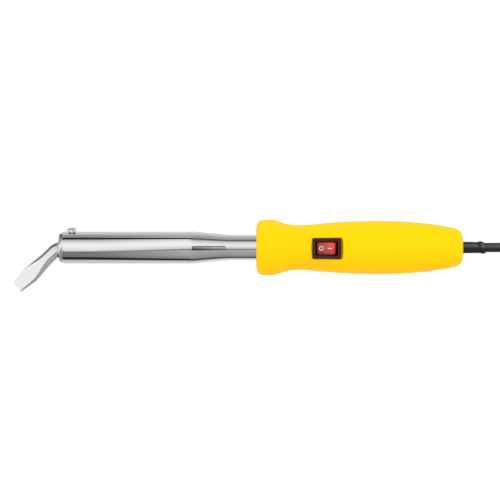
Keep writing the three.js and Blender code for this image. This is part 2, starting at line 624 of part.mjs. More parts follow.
function makeStrainRelief() {
  const [front, rear] = SLEEVE_X;
  const bore = CORD_R + GAP;
  place('strain_relief', revolved([
    [front, bore], [front, 4.6], [141.3, 4.6], [141.3, 6.6], [144.4, 6.6], [144.4, 4.25], [rear - 3, 4.1],
    [rear - 1.8, 4.5], [rear - 0.5, 4.6], [rear, 4.2], [rear, bore], [front, bore],
  ], 20), 'rubber');
}

// ---------------------------------------------------------------- cord, hank and plug

// The lead from inside the handle, out of the sleeve and down to the hank.
const LEAD_ROUTE = [
  [126, 0, 0], [145, 0, 0], [164.3, 0, 0], [170, 0, -0.1], [176, 0.1, -0.8], [182, 0.6, -2.5],
  [188, 1.6, -5.2], [194, 3.1, -8.5], [200, 5, -11.8], [206, 7.2, -14.5], [212, 9.4, -16.1],
  [216.5, 10.9, -16.5],
];

// Half the distance between the hank's two runs, at a distance along its straight part.
const hankSpread = (along) => HANK_WAIST
  + (HANK_FOLD_R - HANK_WAIST) * (1 + Math.cos((2 * Math.PI * along) / HANK_RUN)) / 2;

function hankOutline() {
  const middle = HANK_NEAR_X + HANK_RUN / 2;
  const runSteps = 16;
  const side = Array.from({ length: runSteps + 1 }, (_, i) => {
    const along = (i / runSteps) * HANK_RUN;
    return [HANK_NEAR_X + along - middle, hankSpread(along) + CORD_R];
  });
  const shape = new THREE.Shape(side.map(([x, y]) => new THREE.Vector2(-x, -y)));
  shape.absarc(-HANK_RUN / 2, 0, HANK_FOLD_R + CORD_R, -Math.PI / 2, Math.PI / 2, true);
  side.slice(1).forEach(([x, y]) => shape.lineTo(x, y));
  shape.absarc(HANK_RUN / 2, 0, HANK_FOLD_R + CORD_R, Math.PI / 2, -Math.PI / 2, true);
  return shape;
}

function makeCord() {
  placeOnCord('cord_lead', cable(LEAD_ROUTE, CORD_R, 22, 10), 'rubber');
  const middle = HANK_NEAR_X + HANK_RUN / 2;
  const bottom = FLOOR_Z + 0.1;
  const height = 4 * CORD_LEVEL + TIE.thickness + 0.2;
  const settings = { depth: height, bevelEnabled: false, curveSegments: 10 };
  const bundle = solid(new THREE.ExtrudeGeometry(hankOutline(), settings).translate(middle, HANK_Y, bottom));
  const halfTie = TIE.length / 2;
  const notch = box([middle - halfTie - GAP, middle + halfTie + GAP], [-40, 30],
    [-25, bottom + TIE.thickness + GAP]);
  placeOnCord('cord_hank', fromSolid(cut(bundle, [notch])), 'rubber');

  const halfWidth = hankSpread(HANK_RUN / 2 + halfTie) + CORD_R + GAP;
  const tieTop = bottom + height + GAP;
  const outer = box([middle - halfTie, middle + halfTie],
    [HANK_Y - halfWidth - TIE.thickness, HANK_Y + halfWidth + TIE.thickness],
    [bottom, tieTop + TIE.thickness]);
  const inner = box([middle - 10, middle + 10], [HANK_Y - halfWidth, HANK_Y + halfWidth],
    [bottom + TIE.thickness, tieTop]);
  placeOnCord('hank_tie', fromSolid(cut(solid(outer), [inner])), 'black');

  const farEdge = HANK_NEAR_X + HANK_RUN + HANK_FOLD_R + CORD_R;
  const topLevel = FLOOR_Z + CORD_R + 0.1 + 3 * CORD_LEVEL;
  const axis = FLOOR_Z + PLUG_R;
  const tail = [[farEdge + GAP, PLUG_Y, topLevel - 0.2], [farEdge + 7, PLUG_Y, topLevel - 0.9],
    [PLUG_X - 16, PLUG_Y, axis + 1.6], [PLUG_X - 8, PLUG_Y, axis + 0.2], [PLUG_X, PLUG_Y, axis]];
  placeOnCord('cord_tail', cable(tail, CORD_R, 8, 10), 'rubber');
}

function makePlug() {
  const sleeveLength = 16;
  const [rear, front] = [PLUG_X + sleeveLength, PLUG_X + sleeveLength + 36];
  const axis = FLOOR_Z + PLUG_R;
  const lay = (geometry) => geometry.translate(0, PLUG_Y, axis);
  placeOnCord('plug_sleeve', lay(revolved([[PLUG_X + GAP, 0], [PLUG_X + GAP, 4.2], [rear - 1, 5.4],
    [rear - 1, 6], [rear - GAP, 6], [rear - GAP, 0]], 16)), 'rubber');
  const grooves = [1, -1].map(
    (side) => box([rear + 20, front + 1], [-4.5, 4.5], side > 0 ? [15, 20] : [-20, -15]));
  const pinY = 9.5;
  const pinHoles = [1, -1].map(
    (side) => rod([front - 10, front + 1], 2.4 + GAP, 16).translate(0, side * pinY, 0));
  const body = solid(revolved([[rear, 0], [rear, 7.5], [rear + 3, 9.5], [rear + 8, 15.5], [rear + 12, 18.2],
    [rear + 16, PLUG_R], [front - 1, PLUG_R], [front, PLUG_R - 1], [front, 0]], 28));
  placeOnCord('plug_body', lay(fromSolid(cut(body, [...grooves, ...pinHoles]))), 'rubber');
  [1, -1].forEach((side, i) => {
    const pin = revolved([[front - 10 + GAP, 0], [front - 10 + GAP, 2.4], [front + 16.6, 2.4],
      [front + 18.4, 1.6], [front + 19, 0]], 16).translate(0, side * pinY, 0);
    placeOnCord(`plug_pin_${i + 1}`, lay(pin), 'chrome');
    const low = 15 + GAP;
    const clip = box([rear + 20 + GAP, front - 0.5], [-3, 3], side > 0 ? [low, low + 1] : [-low - 1, -low]);
    placeOnCord(`plug_earth_clip_${i + 1}`, lay(clip), 'chrome');
  });
}

makeBit();
makeClampScrew();
makeBarrel();
makeHeater();
makeHandle();
makeStemFixing();
makeRocker();
makeSwitchHousing();
makeContacts();
makeWiring();
makeBlockAndClamp();
makeStrainRelief();
makeCord();
makePlug();

// Stand the iron on z = 0 with the middle of its own underside, cord left out, at the origin.
const own = new THREE.Box3();
iron.children.filter((mesh) => !cordParts.includes(mesh)).forEach((mesh) => own.expandByObject(mesh, true));
const middle = own.getCenter(new THREE.Vector3());
iron.position.set(-middle.x, -middle.y, -own.min.z);

const group = new THREE.Group();
group.add(iron);

export default group;
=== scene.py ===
# A mains soldering iron for stained glass work, seen from straight above.
# Shapes are worked out in millimetres from the middle of the handle's front face, with x along
# the handle towards the cord, y sideways and z up, and at() takes them into the frame's metres.

import bmesh
import bpy
import json
from math import asin, cos, dist, hypot, pi, radians, sin, sqrt
from mathutils import Euler, Matrix, Vector


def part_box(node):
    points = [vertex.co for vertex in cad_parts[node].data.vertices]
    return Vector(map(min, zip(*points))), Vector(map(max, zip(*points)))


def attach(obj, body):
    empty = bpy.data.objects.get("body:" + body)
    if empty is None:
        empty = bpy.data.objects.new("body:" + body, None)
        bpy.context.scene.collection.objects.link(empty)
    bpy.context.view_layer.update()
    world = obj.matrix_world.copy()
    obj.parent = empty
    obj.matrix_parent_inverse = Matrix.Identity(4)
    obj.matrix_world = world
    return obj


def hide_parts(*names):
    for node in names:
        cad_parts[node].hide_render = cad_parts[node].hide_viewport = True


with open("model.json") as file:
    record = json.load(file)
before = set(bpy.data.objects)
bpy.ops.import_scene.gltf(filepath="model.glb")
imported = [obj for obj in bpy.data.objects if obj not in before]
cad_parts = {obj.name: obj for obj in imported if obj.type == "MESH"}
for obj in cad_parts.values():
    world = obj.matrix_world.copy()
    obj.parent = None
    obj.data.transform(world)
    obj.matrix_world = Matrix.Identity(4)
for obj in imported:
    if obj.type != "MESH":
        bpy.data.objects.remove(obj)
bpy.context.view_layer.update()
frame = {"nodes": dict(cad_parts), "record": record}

MM = 0.001
FLOOR_Z = -20.0
shell_low, shell_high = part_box("handle_bottom_shell")
ORIGIN = Vector((shell_low.x, (shell_low.y + shell_high.y) / 2, shell_low.z - FLOOR_Z * MM))


def at(point):
    """A point in millimetres from the handle's front face, as metres in the frame."""
    return ORIGIN + Vector(point) * MM


def add_object(name, data):
    """A new object in the scene."""
    thing = bpy.data.objects.new(name, data)
    bpy.context.collection.objects.link(thing)
    return thing


# ---------------- camera

CAMERA_HEIGHT = 2000.0
CAMERA_LENS = 200.0
CAMERA_CENTRE = (-4.5, -1.8)
CAMERA_LEAN = radians(2.5)

camera_data = bpy.data.cameras.new("camera")
camera_data.lens = CAMERA_LENS
camera_data.sensor_width = 36.0
camera_data.clip_start = 0.05
camera = add_object("camera", camera_data)
camera.location = at((CAMERA_CENTRE[0], CAMERA_CENTRE[1] + CAMERA_HEIGHT * sin(CAMERA_LEAN),
                      CAMERA_HEIGHT * cos(CAMERA_LEAN)))
camera.rotation_euler = Euler((-CAMERA_LEAN, 0, 0))
bpy.context.scene.camera = camera

# ---------------- dimensions

FLANGE_R = 20.0
NECK_X, NECK_R = 30.0, 16.1
BULGE_X, BULGE_R = 90.0, 19.15
HANDLE_LENGTH = 148.4
SEAM_HALF_GAP = 0.05
SCREW_PLACES = [(36.0, 8.5), (36.0, -8.5), (112.0, 9.0), (112.0, -9.0)]
SCREW_SEAT_Z = -9.5
SCREW_SEAT_R, SCREW_BORE_R, SCREW_POST_R = 3.0, 1.75, 3.2

BARREL_FRONT = -142.0
BARREL_R = 11.5
TAPER_FRONT, TAPER_REAR = -44.1, -19.7
STEM_R = 9.15
STEM_REAR = 29.0
TUBE_WALL = 0.9
MOUTH_R = 8.2
SLOT_X = (-46.3, -21.5)
SLOT_HALF_WIDTH = 1.5

BIT_R = 4.9
BIT_REAR = -62.0
BEND_START = -137.2
BEND_R = 12.4
BEND_ANGLE = radians(44.2)
BEND_LENGTH = BEND_R * BEND_ANGLE
BIT_ROLL = radians(26.8)
SHOULDER, TIP = 23.4, 36.4
BIT_TIP_HALF_WIDTH, BIT_TIP_HALF_THICKNESS = 4.2, 1.15

CLAMP_X = -132.3
CLAMP_TILT = radians(14)

SWITCH_X = 50.4
CUTOUT_HALF_LENGTH, CUTOUT_HALF_WIDTH = 9.6, 6.45
LAND_X = (39.6, 61.2)
LAND_HALF_WIDTH = 7.9
LAND_Z = 15.7
ROCKER_PIVOT_Z = 15.2
ROCKER_TILT = radians(12)
ROCKER_END_R = 7.05
ROCKER_LOW, ROCKER_HIGH = radians(-14), radians(30)
ROCKER_END_X = ROCKER_END_R * cos(ROCKER_HIGH)
ROCKER_END_Z = ROCKER_END_R * sin(ROCKER_HIGH)
ROCKER_HOLLOW = 1.5
ROCKER_WIDTH = 8.7

SLEEVE_FRONT, SLEEVE_REAR = 134.0, 164.3

CORD_R = 3.4
CORD_LEVEL = 6.85
CORD_FLOOR = FLOOR_Z + CORD_R + 0.1
HANK_Y = -5.8
HANK_FOLD_R = 20.6
HANK_NEAR_X = 238.0
HANK_RUN = 134.0
HANK_WAIST = 3.6
TIE_LENGTH, TIE_THICKNESS = 5.0, 0.8
PLUG_X = 427.0
PLUG_Y = -2.2
PLUG_R = 19.0
PLUG_AXIS = FLOOR_Z + PLUG_R

# ---------------- mesh helpers


def smoothstep(value, low, high):
    t = min(max((value - low) / (high - low), 0.0), 1.0)
    return t * t * (3 - 2 * t)


def mix(a, b, t):
    return a + (b - a) * t


def turns(count):
    """Evenly spaced angles round a full turn."""
    return [2 * pi * j / count for j in range(count)]


def grid_faces(rows, across, rows_join, columns_join):
    """Faces of a grid of points kept row by row, which may close on itself either way."""
    faces = []
    for i in range(rows if rows_join else rows - 1):
        here, beyond = i * across, (i + 1) % rows * across
        for j in range(across if columns_join else across - 1):
            k = (j + 1) % across
            faces.append([here + j, here + k, beyond + k, beyond + j])
    return faces


def bezier(p0, p1, p2, p3, steps):
    """Points on a cubic curve in a plane, both ends among them."""
    points = []
    for i in range(steps + 1):
        t = i / steps
        weights = ((1 - t) ** 3, 3 * t * (1 - t) ** 2, 3 * t * t * (1 - t), t**3)
        points.append(tuple(sum(w * p[k] for w, p in zip(weights, (p0, p1, p2, p3))) for k in (0, 1)))
    return points


def softened(profile, reach, closed=False, steps=4):
    """The profile with a small curve for each of its corners, from `reach` before to `reach` after it."""
    count = len(profile)
    points = []
    for i, corner in enumerate(profile):
        if not closed and i in (0, count - 1):
            points.append(tuple(corner))
            continue
        corner = Vector(corner)
        arms = [Vector(profile[i - 1]) - corner, Vector(profile[(i + 1) % count]) - corner]
        start, end = (corner + arm.normalized() * min(reach, 0.45 * arm.length) for arm in arms)
        for k in range(steps + 1):
            t = k / steps
            points.append(tuple((1 - t) ** 2 * start + 2 * t * (1 - t) * corner + t * t * end))
    return points


def revolved(profile, segments=96, ring=False):
    """A solid of revolution about the x axis from (x, radius) pairs. A ring's profile closes on itself."""
    points, faces, rows = [], [], []
    for x, r in profile:
        if r < 1e-6:
            rows.append([len(points)] * segments)
            points.append((x, 0.0, 0.0))
            continue
        rows.append([len(points) + j for j in range(segments)])
        points += [(x, r * cos(angle), r * sin(angle)) for angle in turns(segments)]
    following = rows[1:] + ([rows[0]] if ring else [])
    for low, high in zip(rows, following):
        for j in range(segments):
            k = (j + 1) % segments
            corners = [low[j], low[k], high[k], high[j]]
            faces.append([c for n, c in enumerate(corners) if c != corners[n - 1]])
    return points, [f for f in faces if len(f) > 2]


def lofted(loops, ring=False):
    """A solid through loops of equally many points, with flat ends. A ring's last loop joins its first."""
    count = len(loops[0])
    points = [p for loop in loops for p in loop]
    faces = grid_faces(len(loops), count, ring, True)
    if not ring:
        faces.append(list(range(count)))
        faces.append([(len(loops) - 1) * count + j for j in range(count)])
    return points, faces


def outline_box(half_x, half_y, corner, per_corner=8):
    """Points round a rectangle with rounded corners."""
    points = []
    for quarter, (side_x, side_y) in enumerate([(1, 1), (-1, 1), (-1, -1), (1, -1)]):
        for i in range(per_corner + 1):
            angle = (quarter + i / per_corner) * pi / 2
            points.append((side_x * (half_x - corner) + corner * cos(angle),
                           side_y * (half_y - corner) + corner * sin(angle)))
    return points


def box(x_span, y_span, z_span):
    corners = ((0, 0), (1, 0), (1, 1), (0, 1))
    return lofted([[(x_span[a], y_span[b], z) for a, b in corners] for z in z_span])


def upright(x, y, z_span, radius, segments=48):
    """A cylinder standing along z."""
    ring = [(x + radius * cos(angle), y + radius * sin(angle)) for angle in turns(segments)]
    return lofted([[(px, py, z) for px, py in ring] for z in z_span])


def moved(shape, matrix):
    points, faces = shape
    return [tuple(matrix @ Vector(p)) for p in points], faces


def along_z(shape):
    """A shape turned about x, made to stand about z instead, its +x end up."""
    points, faces = shape
    return [(y, z, x) for x, y, z in points], faces


def placed(x=0.0, y=0.0, z=0.0):
    return Matrix.Translation((x, y, z))


def turned(axis, angle):
    return Matrix.Rotation(angle, 4, axis)


def to_mesh(*shapes):
    """One mesh of the given separate solids, with its faces outwards, in the frame's metres."""
    mesh = bpy.data.meshes.new("shape")
    points, faces = [], []
    for shape_points, shape_faces in shapes:
        faces += [[i + len(points) for i in face] for face in shape_faces]
        points += [at(p) for p in shape_points]
    mesh.from_pydata(points, [], faces)
    outward(mesh)
    return mesh


def outward(mesh):
    edited = bmesh.new()
    edited.from_mesh(mesh)
    bmesh.ops.recalc_face_normals(edited, faces=edited.faces)
    edited.to_mesh(mesh)
    edited.free()


def applied(mesh, add_modifiers):
    """The mesh that the modifiers make of this one."""
    holder = add_object("holder", mesh)
    add_modifiers(holder)
    graph = bpy.context.evaluated_depsgraph_get()
    result = bpy.data.meshes.new_from_object(holder.evaluated_get(graph))
    bpy.data.objects.remove(holder)
    bpy.data.meshes.remove(mesh)
    return result


def combined(mesh, tool_mesh, operation):
    """A new mesh by a boolean operation on two, which are both used up."""
    tool = add_object("tool", tool_mesh)

    def add(holder):
        modifier = holder.modifiers.new("combine", "BOOLEAN")
        modifier.operation = operation
        modifier.solver = "EXACT"
        modifier.object = tool

    result = applied(mesh, add)
    bpy.data.objects.remove(tool)
    bpy.data.meshes.remove(tool_mesh)
    return result


def cut(mesh, *shapes):
    """The mesh without the space that the shapes fill."""
    return combined(mesh, to_mesh(*shapes), "DIFFERENCE")


def edges_eased(mesh, width):
    """Bevels every edge sharper than 40 degrees, by a width in millimetres."""
    def add(holder):
        modifier = holder.modifiers.new("ease", "BEVEL")
        modifier.width = width * MM
        modifier.segments = 2
        modifier.limit_method = "ANGLE"
        modifier.angle_limit = radians(40)

    return applied(mesh, add)


# ---------------- materials


class Nodes:
    """Builds one material's node tree."""

    def __init__(self, name):
        self.material = bpy.data.materials.new(name)
        self.material.use_nodes = True
        self.tree = self.material.node_tree
        self.shader = self.tree.nodes["Principled BSDF"]
        self.coordinates = self.tree.nodes.new("ShaderNodeTexCoord").outputs["Object"]

    def new(self, kind, settings=None, **sockets):
        node = self.tree.nodes.new(kind)
        for key, value in (settings or {}).items():
            setattr(node, key, value)
        for key, value in sockets.items():
            self.feed(node.inputs[key.replace("_", " ")], value)
        return node

    def feed(self, socket, value):
        if isinstance(value, bpy.types.NodeSocket):
            self.tree.links.new(value, socket)
        else:
            socket.default_value = value

    def set(self, **sockets):
        for key, value in sockets.items():
            self.feed(self.shader.inputs[key.replace("_", " ")], value)

    def noise(self, size, detail=3.0, stretch=(1.0, 1.0, 1.0)):
        """Noise with features of about `size` millimetres, drawn out along an axis by stretch."""
        mapping = self.new("ShaderNodeMapping", Vector=self.coordinates,
                           Scale=tuple(1 / (size * MM * s) for s in stretch))
        noise = self.new("ShaderNodeTexNoise", Vector=mapping.outputs[0], Scale=1.0, Detail=detail)
        return noise.outputs["Fac"]

    def ranged(self, value, low, high, source=(0.3, 0.7)):
        """A value between low and high, for a value that runs over the source range."""
        node = self.new("ShaderNodeMapRange", Value=value, From_Min=source[0], From_Max=source[1],
                        To_Min=low, To_Max=high)
        return node.outputs[0]

    def blend(self, value, first, second):
        """A colour between two, by a value."""
        node = self.new("ShaderNodeMix", {"data_type": "RGBA"})
        self.feed(node.inputs["Factor"], self.ranged(value, 0.0, 1.0))
        colour_sockets = [socket for socket in node.inputs if socket.type == "RGBA"]
        for socket, colour in zip(colour_sockets, (first, second)):
            socket.default_value = (*colour, 1)
        return [socket for socket in node.outputs if socket.type == "RGBA"][0]

    def bump(self, height, distance):
        """Bump from a height between 0 and 1, over a distance in millimetres."""
        return self.new("ShaderNodeBump", Height=height, Strength=1.0, Distance=distance * MM).outputs[0]


def surface(name, light, dark, roughness, metallic=0.0, patch=9.0, grain=0.35, grain_height=0.01,
            stretch=(1.0, 1.0, 1.0), **sockets):
    """A moulded, cast or turned surface: its colour and gloss vary in patches and its grain stands up."""
    nodes = Nodes(name)
    patches = nodes.noise(patch, 4.0, stretch)
    fine = nodes.noise(grain, 2.0, stretch)
    nodes.set(Base_Color=nodes.blend(patches, dark, light), Metallic=metallic,
              Roughness=nodes.ranged(patches, *roughness), Normal=nodes.bump(fine, grain_height))
    nodes.set(**sockets)
    return nodes.material


def rocker_red_with_painted_light_and_shade():
    """Clear red moulding over the lamp, with painted light and shade: painted shade at its O end, which is
    tipped down, a painted highlight towards its I end, painted shade at its far rim by the pocket, and
    painted shade on its -y side.
    """
    nodes = Nodes("rocker_red")
    position = nodes.new("ShaderNodeSeparateXYZ", Vector=nodes.coordinates)
    centre = at((SWITCH_X, 0, 0))
    half_length = 7 * MM
    along = nodes.ranged(position.outputs["X"], 0.0, 1.0, (centre.x - half_length, centre.x + half_length))
    patches = nodes.noise(1.6, 3.0)
    wander = nodes.new("ShaderNodeMath", {"operation": "MULTIPLY_ADD"})
    for socket, value in zip(wander.inputs, (patches, 0.08, along)):
        nodes.feed(socket, value)
    # Painted light and shade along the rocker: shade at its O end and its far rim, brighter towards its I
    # end; the patches add a little random tone.
    painted_light_ramp = nodes.new("ShaderNodeValToRGB", Fac=wander.outputs[0])
    painted_light_and_shade_stops = [(0.0, (0.12, 0.012, 0.013)), (0.12, (0.30, 0.045, 0.045)), (0.5, (0.36, 0.044, 0.042)),
             (0.78, (0.64, 0.056, 0.040)), (0.92, (0.56, 0.030, 0.020)), (0.97, (0.24, 0.0, 0.003))]
    for _ in painted_light_and_shade_stops[2:]:
        painted_light_ramp.color_ramp.elements.new(0.5)
    for element, (place, colour) in zip(painted_light_ramp.color_ramp.elements, painted_light_and_shade_stops):
        element.position = place
        element.color = (*colour, 1)
    # Painted shade on the rocker's -y side, down to 0.55 of its colour.
    shaded_side = (centre.y - 4.2 * MM, centre.y + 0.5 * MM)
    across = nodes.ranged(position.outputs["Y"], 0.55, 1.0, shaded_side)
    shaded = nodes.new("ShaderNodeVectorMath", {"operation": "SCALE"}, Scale=across)
    nodes.feed(shaded.inputs[0], painted_light_ramp.outputs[0])
    grain = nodes.noise(0.5, 2.0)
    nodes.set(Base_Color=shaded.outputs[0], Roughness=nodes.ranged(patches, 0.10, 0.18), Coat_Weight=0.15,
              Normal=nodes.bump(grain, 0.004))
    return nodes.material


FINISHES = {
    "handle_yellow": dict(light=(1.0, 0.540, 0.001), dark=(0.985, 0.520, 0.0007), roughness=(0.36, 0.44),
                          patch=24.0, grain=0.5, grain_height=0.012, Specular_IOR_Level=0.06),
    "barrel_chrome": dict(light=(0.93, 0.93, 0.935), dark=(0.90, 0.90, 0.91), roughness=(0.02, 0.05),
                          metallic=1.0, patch=6.0, grain=0.6, grain_height=0.0002,
                          stretch=(6.0, 1.0, 1.0)),
    "bit_plating": dict(light=(0.93, 0.93, 0.935), dark=(0.88, 0.88, 0.885), roughness=(0.16, 0.24),
                        metallic=1.0, patch=2.5, grain=0.25, grain_height=0.002, stretch=(3.0, 1.0, 1.0)),
    "steel": dict(light=(0.66, 0.67, 0.69), dark=(0.52, 0.53, 0.56), roughness=(0.22, 0.34), metallic=1.0,
                  patch=1.5, grain=0.2, grain_height=0.003),
    "brass": dict(light=(0.72, 0.50, 0.20), dark=(0.60, 0.38, 0.13), roughness=(0.25, 0.4), metallic=1.0,
                  patch=1.5),
    "copper": dict(light=(0.70, 0.33, 0.18), dark=(0.55, 0.22, 0.11), roughness=(0.28, 0.42),
                   metallic=1.0, patch=1.5),
    "resistance_wire": dict(light=(0.32, 0.30, 0.27), dark=(0.20, 0.18, 0.17), roughness=(0.35, 0.55),
                            metallic=1.0, patch=1.2),
    "mica": dict(light=(0.36, 0.31, 0.24), dark=(0.26, 0.22, 0.16), roughness=(0.45, 0.7), patch=4.0),
    "ceramic": dict(light=(0.82, 0.79, 0.72), dark=(0.74, 0.70, 0.62), roughness=(0.5, 0.65), patch=2.0),
    "switch_black": dict(light=(0.044, 0.0105, 0.002), dark=(0.032, 0.0075, 0.001), roughness=(0.38, 0.5),
                         patch=2.0, grain=0.22, grain_height=0.008, Specular_IOR_Level=0.35),
    "lamp_glass": dict(light=(0.85, 0.55, 0.40), dark=(0.75, 0.42, 0.30), roughness=(0.05, 0.12),
                       patch=1.0, Transmission_Weight=0.6),
    "white_plastic": dict(light=(0.80, 0.76, 0.70), dark=(0.72, 0.68, 0.62), roughness=(0.4, 0.55),
                          patch=3.0),
    "black_plastic": dict(light=(0.020, 0.020, 0.021), dark=(0.012, 0.012, 0.013), roughness=(0.42, 0.56),
                          patch=3.0, grain=0.3, grain_height=0.012),
    "cord_rubber": dict(light=(0.010, 0.010, 0.0105), dark=(0.006, 0.006, 0.0065), roughness=(0.42, 0.52),
                        patch=5.0, grain=0.5, grain_height=0.01),
    "sleeve_rubber": dict(light=(0.009, 0.009, 0.0095), dark=(0.006, 0.006, 0.0065),
                          roughness=(0.24, 0.32), patch=5.0, grain=0.5, grain_height=0.006),
    "plug_nickel": dict(light=(0.78, 0.76, 0.72), dark=(0.68, 0.66, 0.62), roughness=(0.14, 0.24),
                        metallic=1.0, patch=2.0),
    "wire_brown": dict(light=(0.17, 0.065, 0.025), dark=(0.13, 0.045, 0.018), roughness=(0.38, 0.5),
                       patch=3.0),
    "wire_blue": dict(light=(0.03, 0.15, 0.52), dark=(0.02, 0.11, 0.42), roughness=(0.38, 0.5),
                      patch=3.0),
    "wire_green": dict(light=(0.10, 0.38, 0.06), dark=(0.07, 0.30, 0.04), roughness=(0.38, 0.5),
                       patch=3.0),
    "screw_bright": dict(light=(0.94, 0.94, 0.945), dark=(0.88, 0.88, 0.89), roughness=(0.07, 0.13),
                         metallic=1.0, patch=1.5, grain=0.2, grain_height=0.0015),
    "mark_white": dict(light=(0.95, 0.62, 0.60), dark=(0.88, 0.52, 0.50), roughness=(0.4, 0.5),
                       patch=1.0),
}
MATERIALS = {name: surface(name, **settings) for name, settings in FINISHES.items()}
MATERIALS["rocker_red"] = rocker_red_with_painted_light_and_shade()


def dressed(name, mesh, body, slot, replaced=(), finish=None, sharp=32):
    """A piece made of a mesh, with the finish of its slot or the one named and its shading, hung on its body;
    the nodes it replaces are hidden.
    """
    mesh.name = name
    mesh.materials.clear()
    mesh.materials.append(MATERIALS[finish or slot])
    mesh.shade_smooth()
    mesh.set_sharp_from_angle(angle=radians(sharp))
    piece = add_object(name, mesh)
    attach(piece, body)
    if replaced:
        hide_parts(*replaced)
    return piece


# ---------------- cord, tie and plug

LEAD_ROUTE = [
    (126, 0, 0), (145, 0, 0), (164.3, 0, 0), (170, 0, -0.1), (176, 0.1, -0.8), (182, 0.6, -2.5),
    (188, 1.6, -5.2), (194, 3.1, -8.5), (200, 5, -11.8), (206, 7.2, -14.5), (212, 9.4, -16.1),
    (218, 11.4, -16.5), (226, 13.6, -16.5),
]
HANK_LAPS = 3
RUN_STEPS = 8
FOLD_STEPS = 6


def hank_spread(along):
    """Half the distance between the hank's two runs, at a distance along its straight part."""
    return mix(HANK_WAIST, HANK_FOLD_R, (1 + cos(2 * pi * along / HANK_RUN)) / 2)


def hank_lap():
    """One lap seen from above as (x, y, share of the lap), from the near end of the +y run."""
    run_length = HANK_RUN * 1.04
    fold_length = pi * HANK_FOLD_R
    whole = 2 * (run_length + fold_length)
    far_x = HANK_NEAR_X + HANK_RUN
    lap = []
    for side, start_x, end_x, passed in ((1, HANK_NEAR_X, far_x, 0.0), (-1, far_x, HANK_NEAR_X, 0.5)):
        for t in (i / RUN_STEPS for i in range(RUN_STEPS)):
            lap.append((start_x + side * t * HANK_RUN, HANK_Y + side * hank_spread(t * HANK_RUN),
                        passed + t * run_length / whole))
        for t in (i / FOLD_STEPS for i in range(FOLD_STEPS)):
            lap.append((end_x + side * HANK_FOLD_R * sin(t * pi),
                        HANK_Y + side * HANK_FOLD_R * cos(t * pi),
                        passed + (run_length + t * fold_length) / whole))
    return lap


def waist_lift(x):
    """How far the hank is raised by its tie, on which it stands at the waist."""
    middle = HANK_NEAR_X + HANK_RUN / 2
    return (TIE_THICKNESS + 0.1) * (1 - smoothstep(abs(x - middle), 6, 40))


def cord_route():
    """The cord's middle line: out of the handle, round the hank, over its far fold and into the plug."""
    route = list(LEAD_ROUTE)
    for lap in range(HANK_LAPS):
        for x, y, share in hank_lap():
            level = lap + smoothstep(share, 0.6, 0.95)
            route.append((x, y, CORD_FLOOR + CORD_LEVEL * level + waist_lift(x)))
    top = CORD_FLOOR + CORD_LEVEL * HANK_LAPS
    for i in range(RUN_STEPS // 2 + 1):
        x = HANK_NEAR_X + i / RUN_STEPS * HANK_RUN
        route.append((x, HANK_Y + hank_spread(x - HANK_NEAR_X), top + waist_lift(x)))
    over_fold = [(325, PLUG_Y, top - 0.3), (345, PLUG_Y, top - 1.5), (365, PLUG_Y, top - 1.3),
                 (384, PLUG_Y, top)]
    down = [(396.3, PLUG_Y, 3.85), (403, PLUG_Y, 3.15), (411, PLUG_Y, 0.6), (419, PLUG_Y, -0.8),
            (PLUG_X, PLUG_Y, PLUG_AXIS), (PLUG_X + 6, PLUG_Y, PLUG_AXIS)]
    return route + over_fold + down


def make_cord():
    curve = bpy.data.curves.new("mains_cord", "CURVE")
    curve.dimensions = "3D"
    curve.bevel_depth = CORD_R * MM
    curve.bevel_resolution = 7
    curve.resolution_u = 8
    curve.use_fill_caps = True
    route = cord_route()
    spline = curve.splines.new("BEZIER")
    spline.bezier_points.add(len(route) - 1)
    for knot, point in zip(spline.bezier_points, route):
        knot.co = at(point)
        knot.handle_left_type = knot.handle_right_type = "AUTO"
    curve.materials.append(MATERIALS["cord_rubber"])
    cord = add_object("mains_cord", curve)
    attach(cord, "iron")
    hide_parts("cord_lead", "cord_hank", "cord_tail")
    return cord


def hull(points):
    """The corners of the smallest outline round some points in a plane."""
    points = sorted(set(points))

    def half(ordered):
        chain = []
        for p in ordered:
            while len(chain) > 1:
                (ax, ay), (bx, by) = chain[-2], chain[-1]
                if (bx - ax) * (p[1] - ay) - (by - ay) * (p[0] - ax) > 0:
                    break
                chain.pop()
            chain.append(p)
        return chain[:-1]

    return half(points) + half(points[::-1])


def make_tie():
    """A strap round the waist of the hank, drawn tight on its strands."""
    middle = HANK_NEAR_X + HANK_RUN / 2
    lift = waist_lift(middle)
    strands = [(HANK_Y + side * HANK_WAIST, CORD_FLOOR + CORD_LEVEL * level + lift)
               for side in (1, -1) for level in range(HANK_LAPS)]
    strands.append((PLUG_Y, CORD_FLOOR + CORD_LEVEL * HANK_LAPS + lift))

    def round_strands(radius):
        return hull([(round(y + radius * cos(a), 5), round(z + radius * sin(a), 5))
                     for y, z in strands for a in turns(60)])

    half = TIE_LENGTH / 2
    inner_gap = 0.06
    section = softened([(-half, inner_gap), (half, inner_gap), (half, TIE_THICKNESS), (-half, TIE_THICKNESS)],
                       0.22, closed=True, steps=3)
    around = 160
    loops = [[(middle + x, y, z) for y, z in resampled(round_strands(CORD_R + height), around)]
             for x, height in section]
    mesh = to_mesh(lofted(loops, ring=True))
    return dressed("hank_tie_strap", mesh, "iron", "black_plastic", ["hank_tie"])


def resampled(loop, count):
    """As many points as asked on a closed outline, in even directions from its middle."""
    cy = sum(p[0] for p in loop) / len(loop)
    cz = sum(p[1] for p in loop) / len(loop)
    spans = [(loop[i], loop[(i + 1) % len(loop)]) for i in range(len(loop))]
    points = []
    for angle in turns(count):
        dy, dz = cos(angle), sin(angle)
        best = None
        for (ay, az), (by, bz) in spans:
            ey, ez = by - ay, bz - az
            determinant = dy * -ez + dz * ey
            if abs(determinant) < 1e-12:
                continue
            ry, rz = ay - cy, az - cz
            distance = (ry * -ez + rz * ey) / determinant
            share = (dy * rz - dz * ry) / determinant
            if distance > 0 and -1e-6 <= share <= 1 + 1e-6:
                best = distance if best is None else max(best, distance)
        points.append((cy + best * dy, cz + best * dz))
    return points


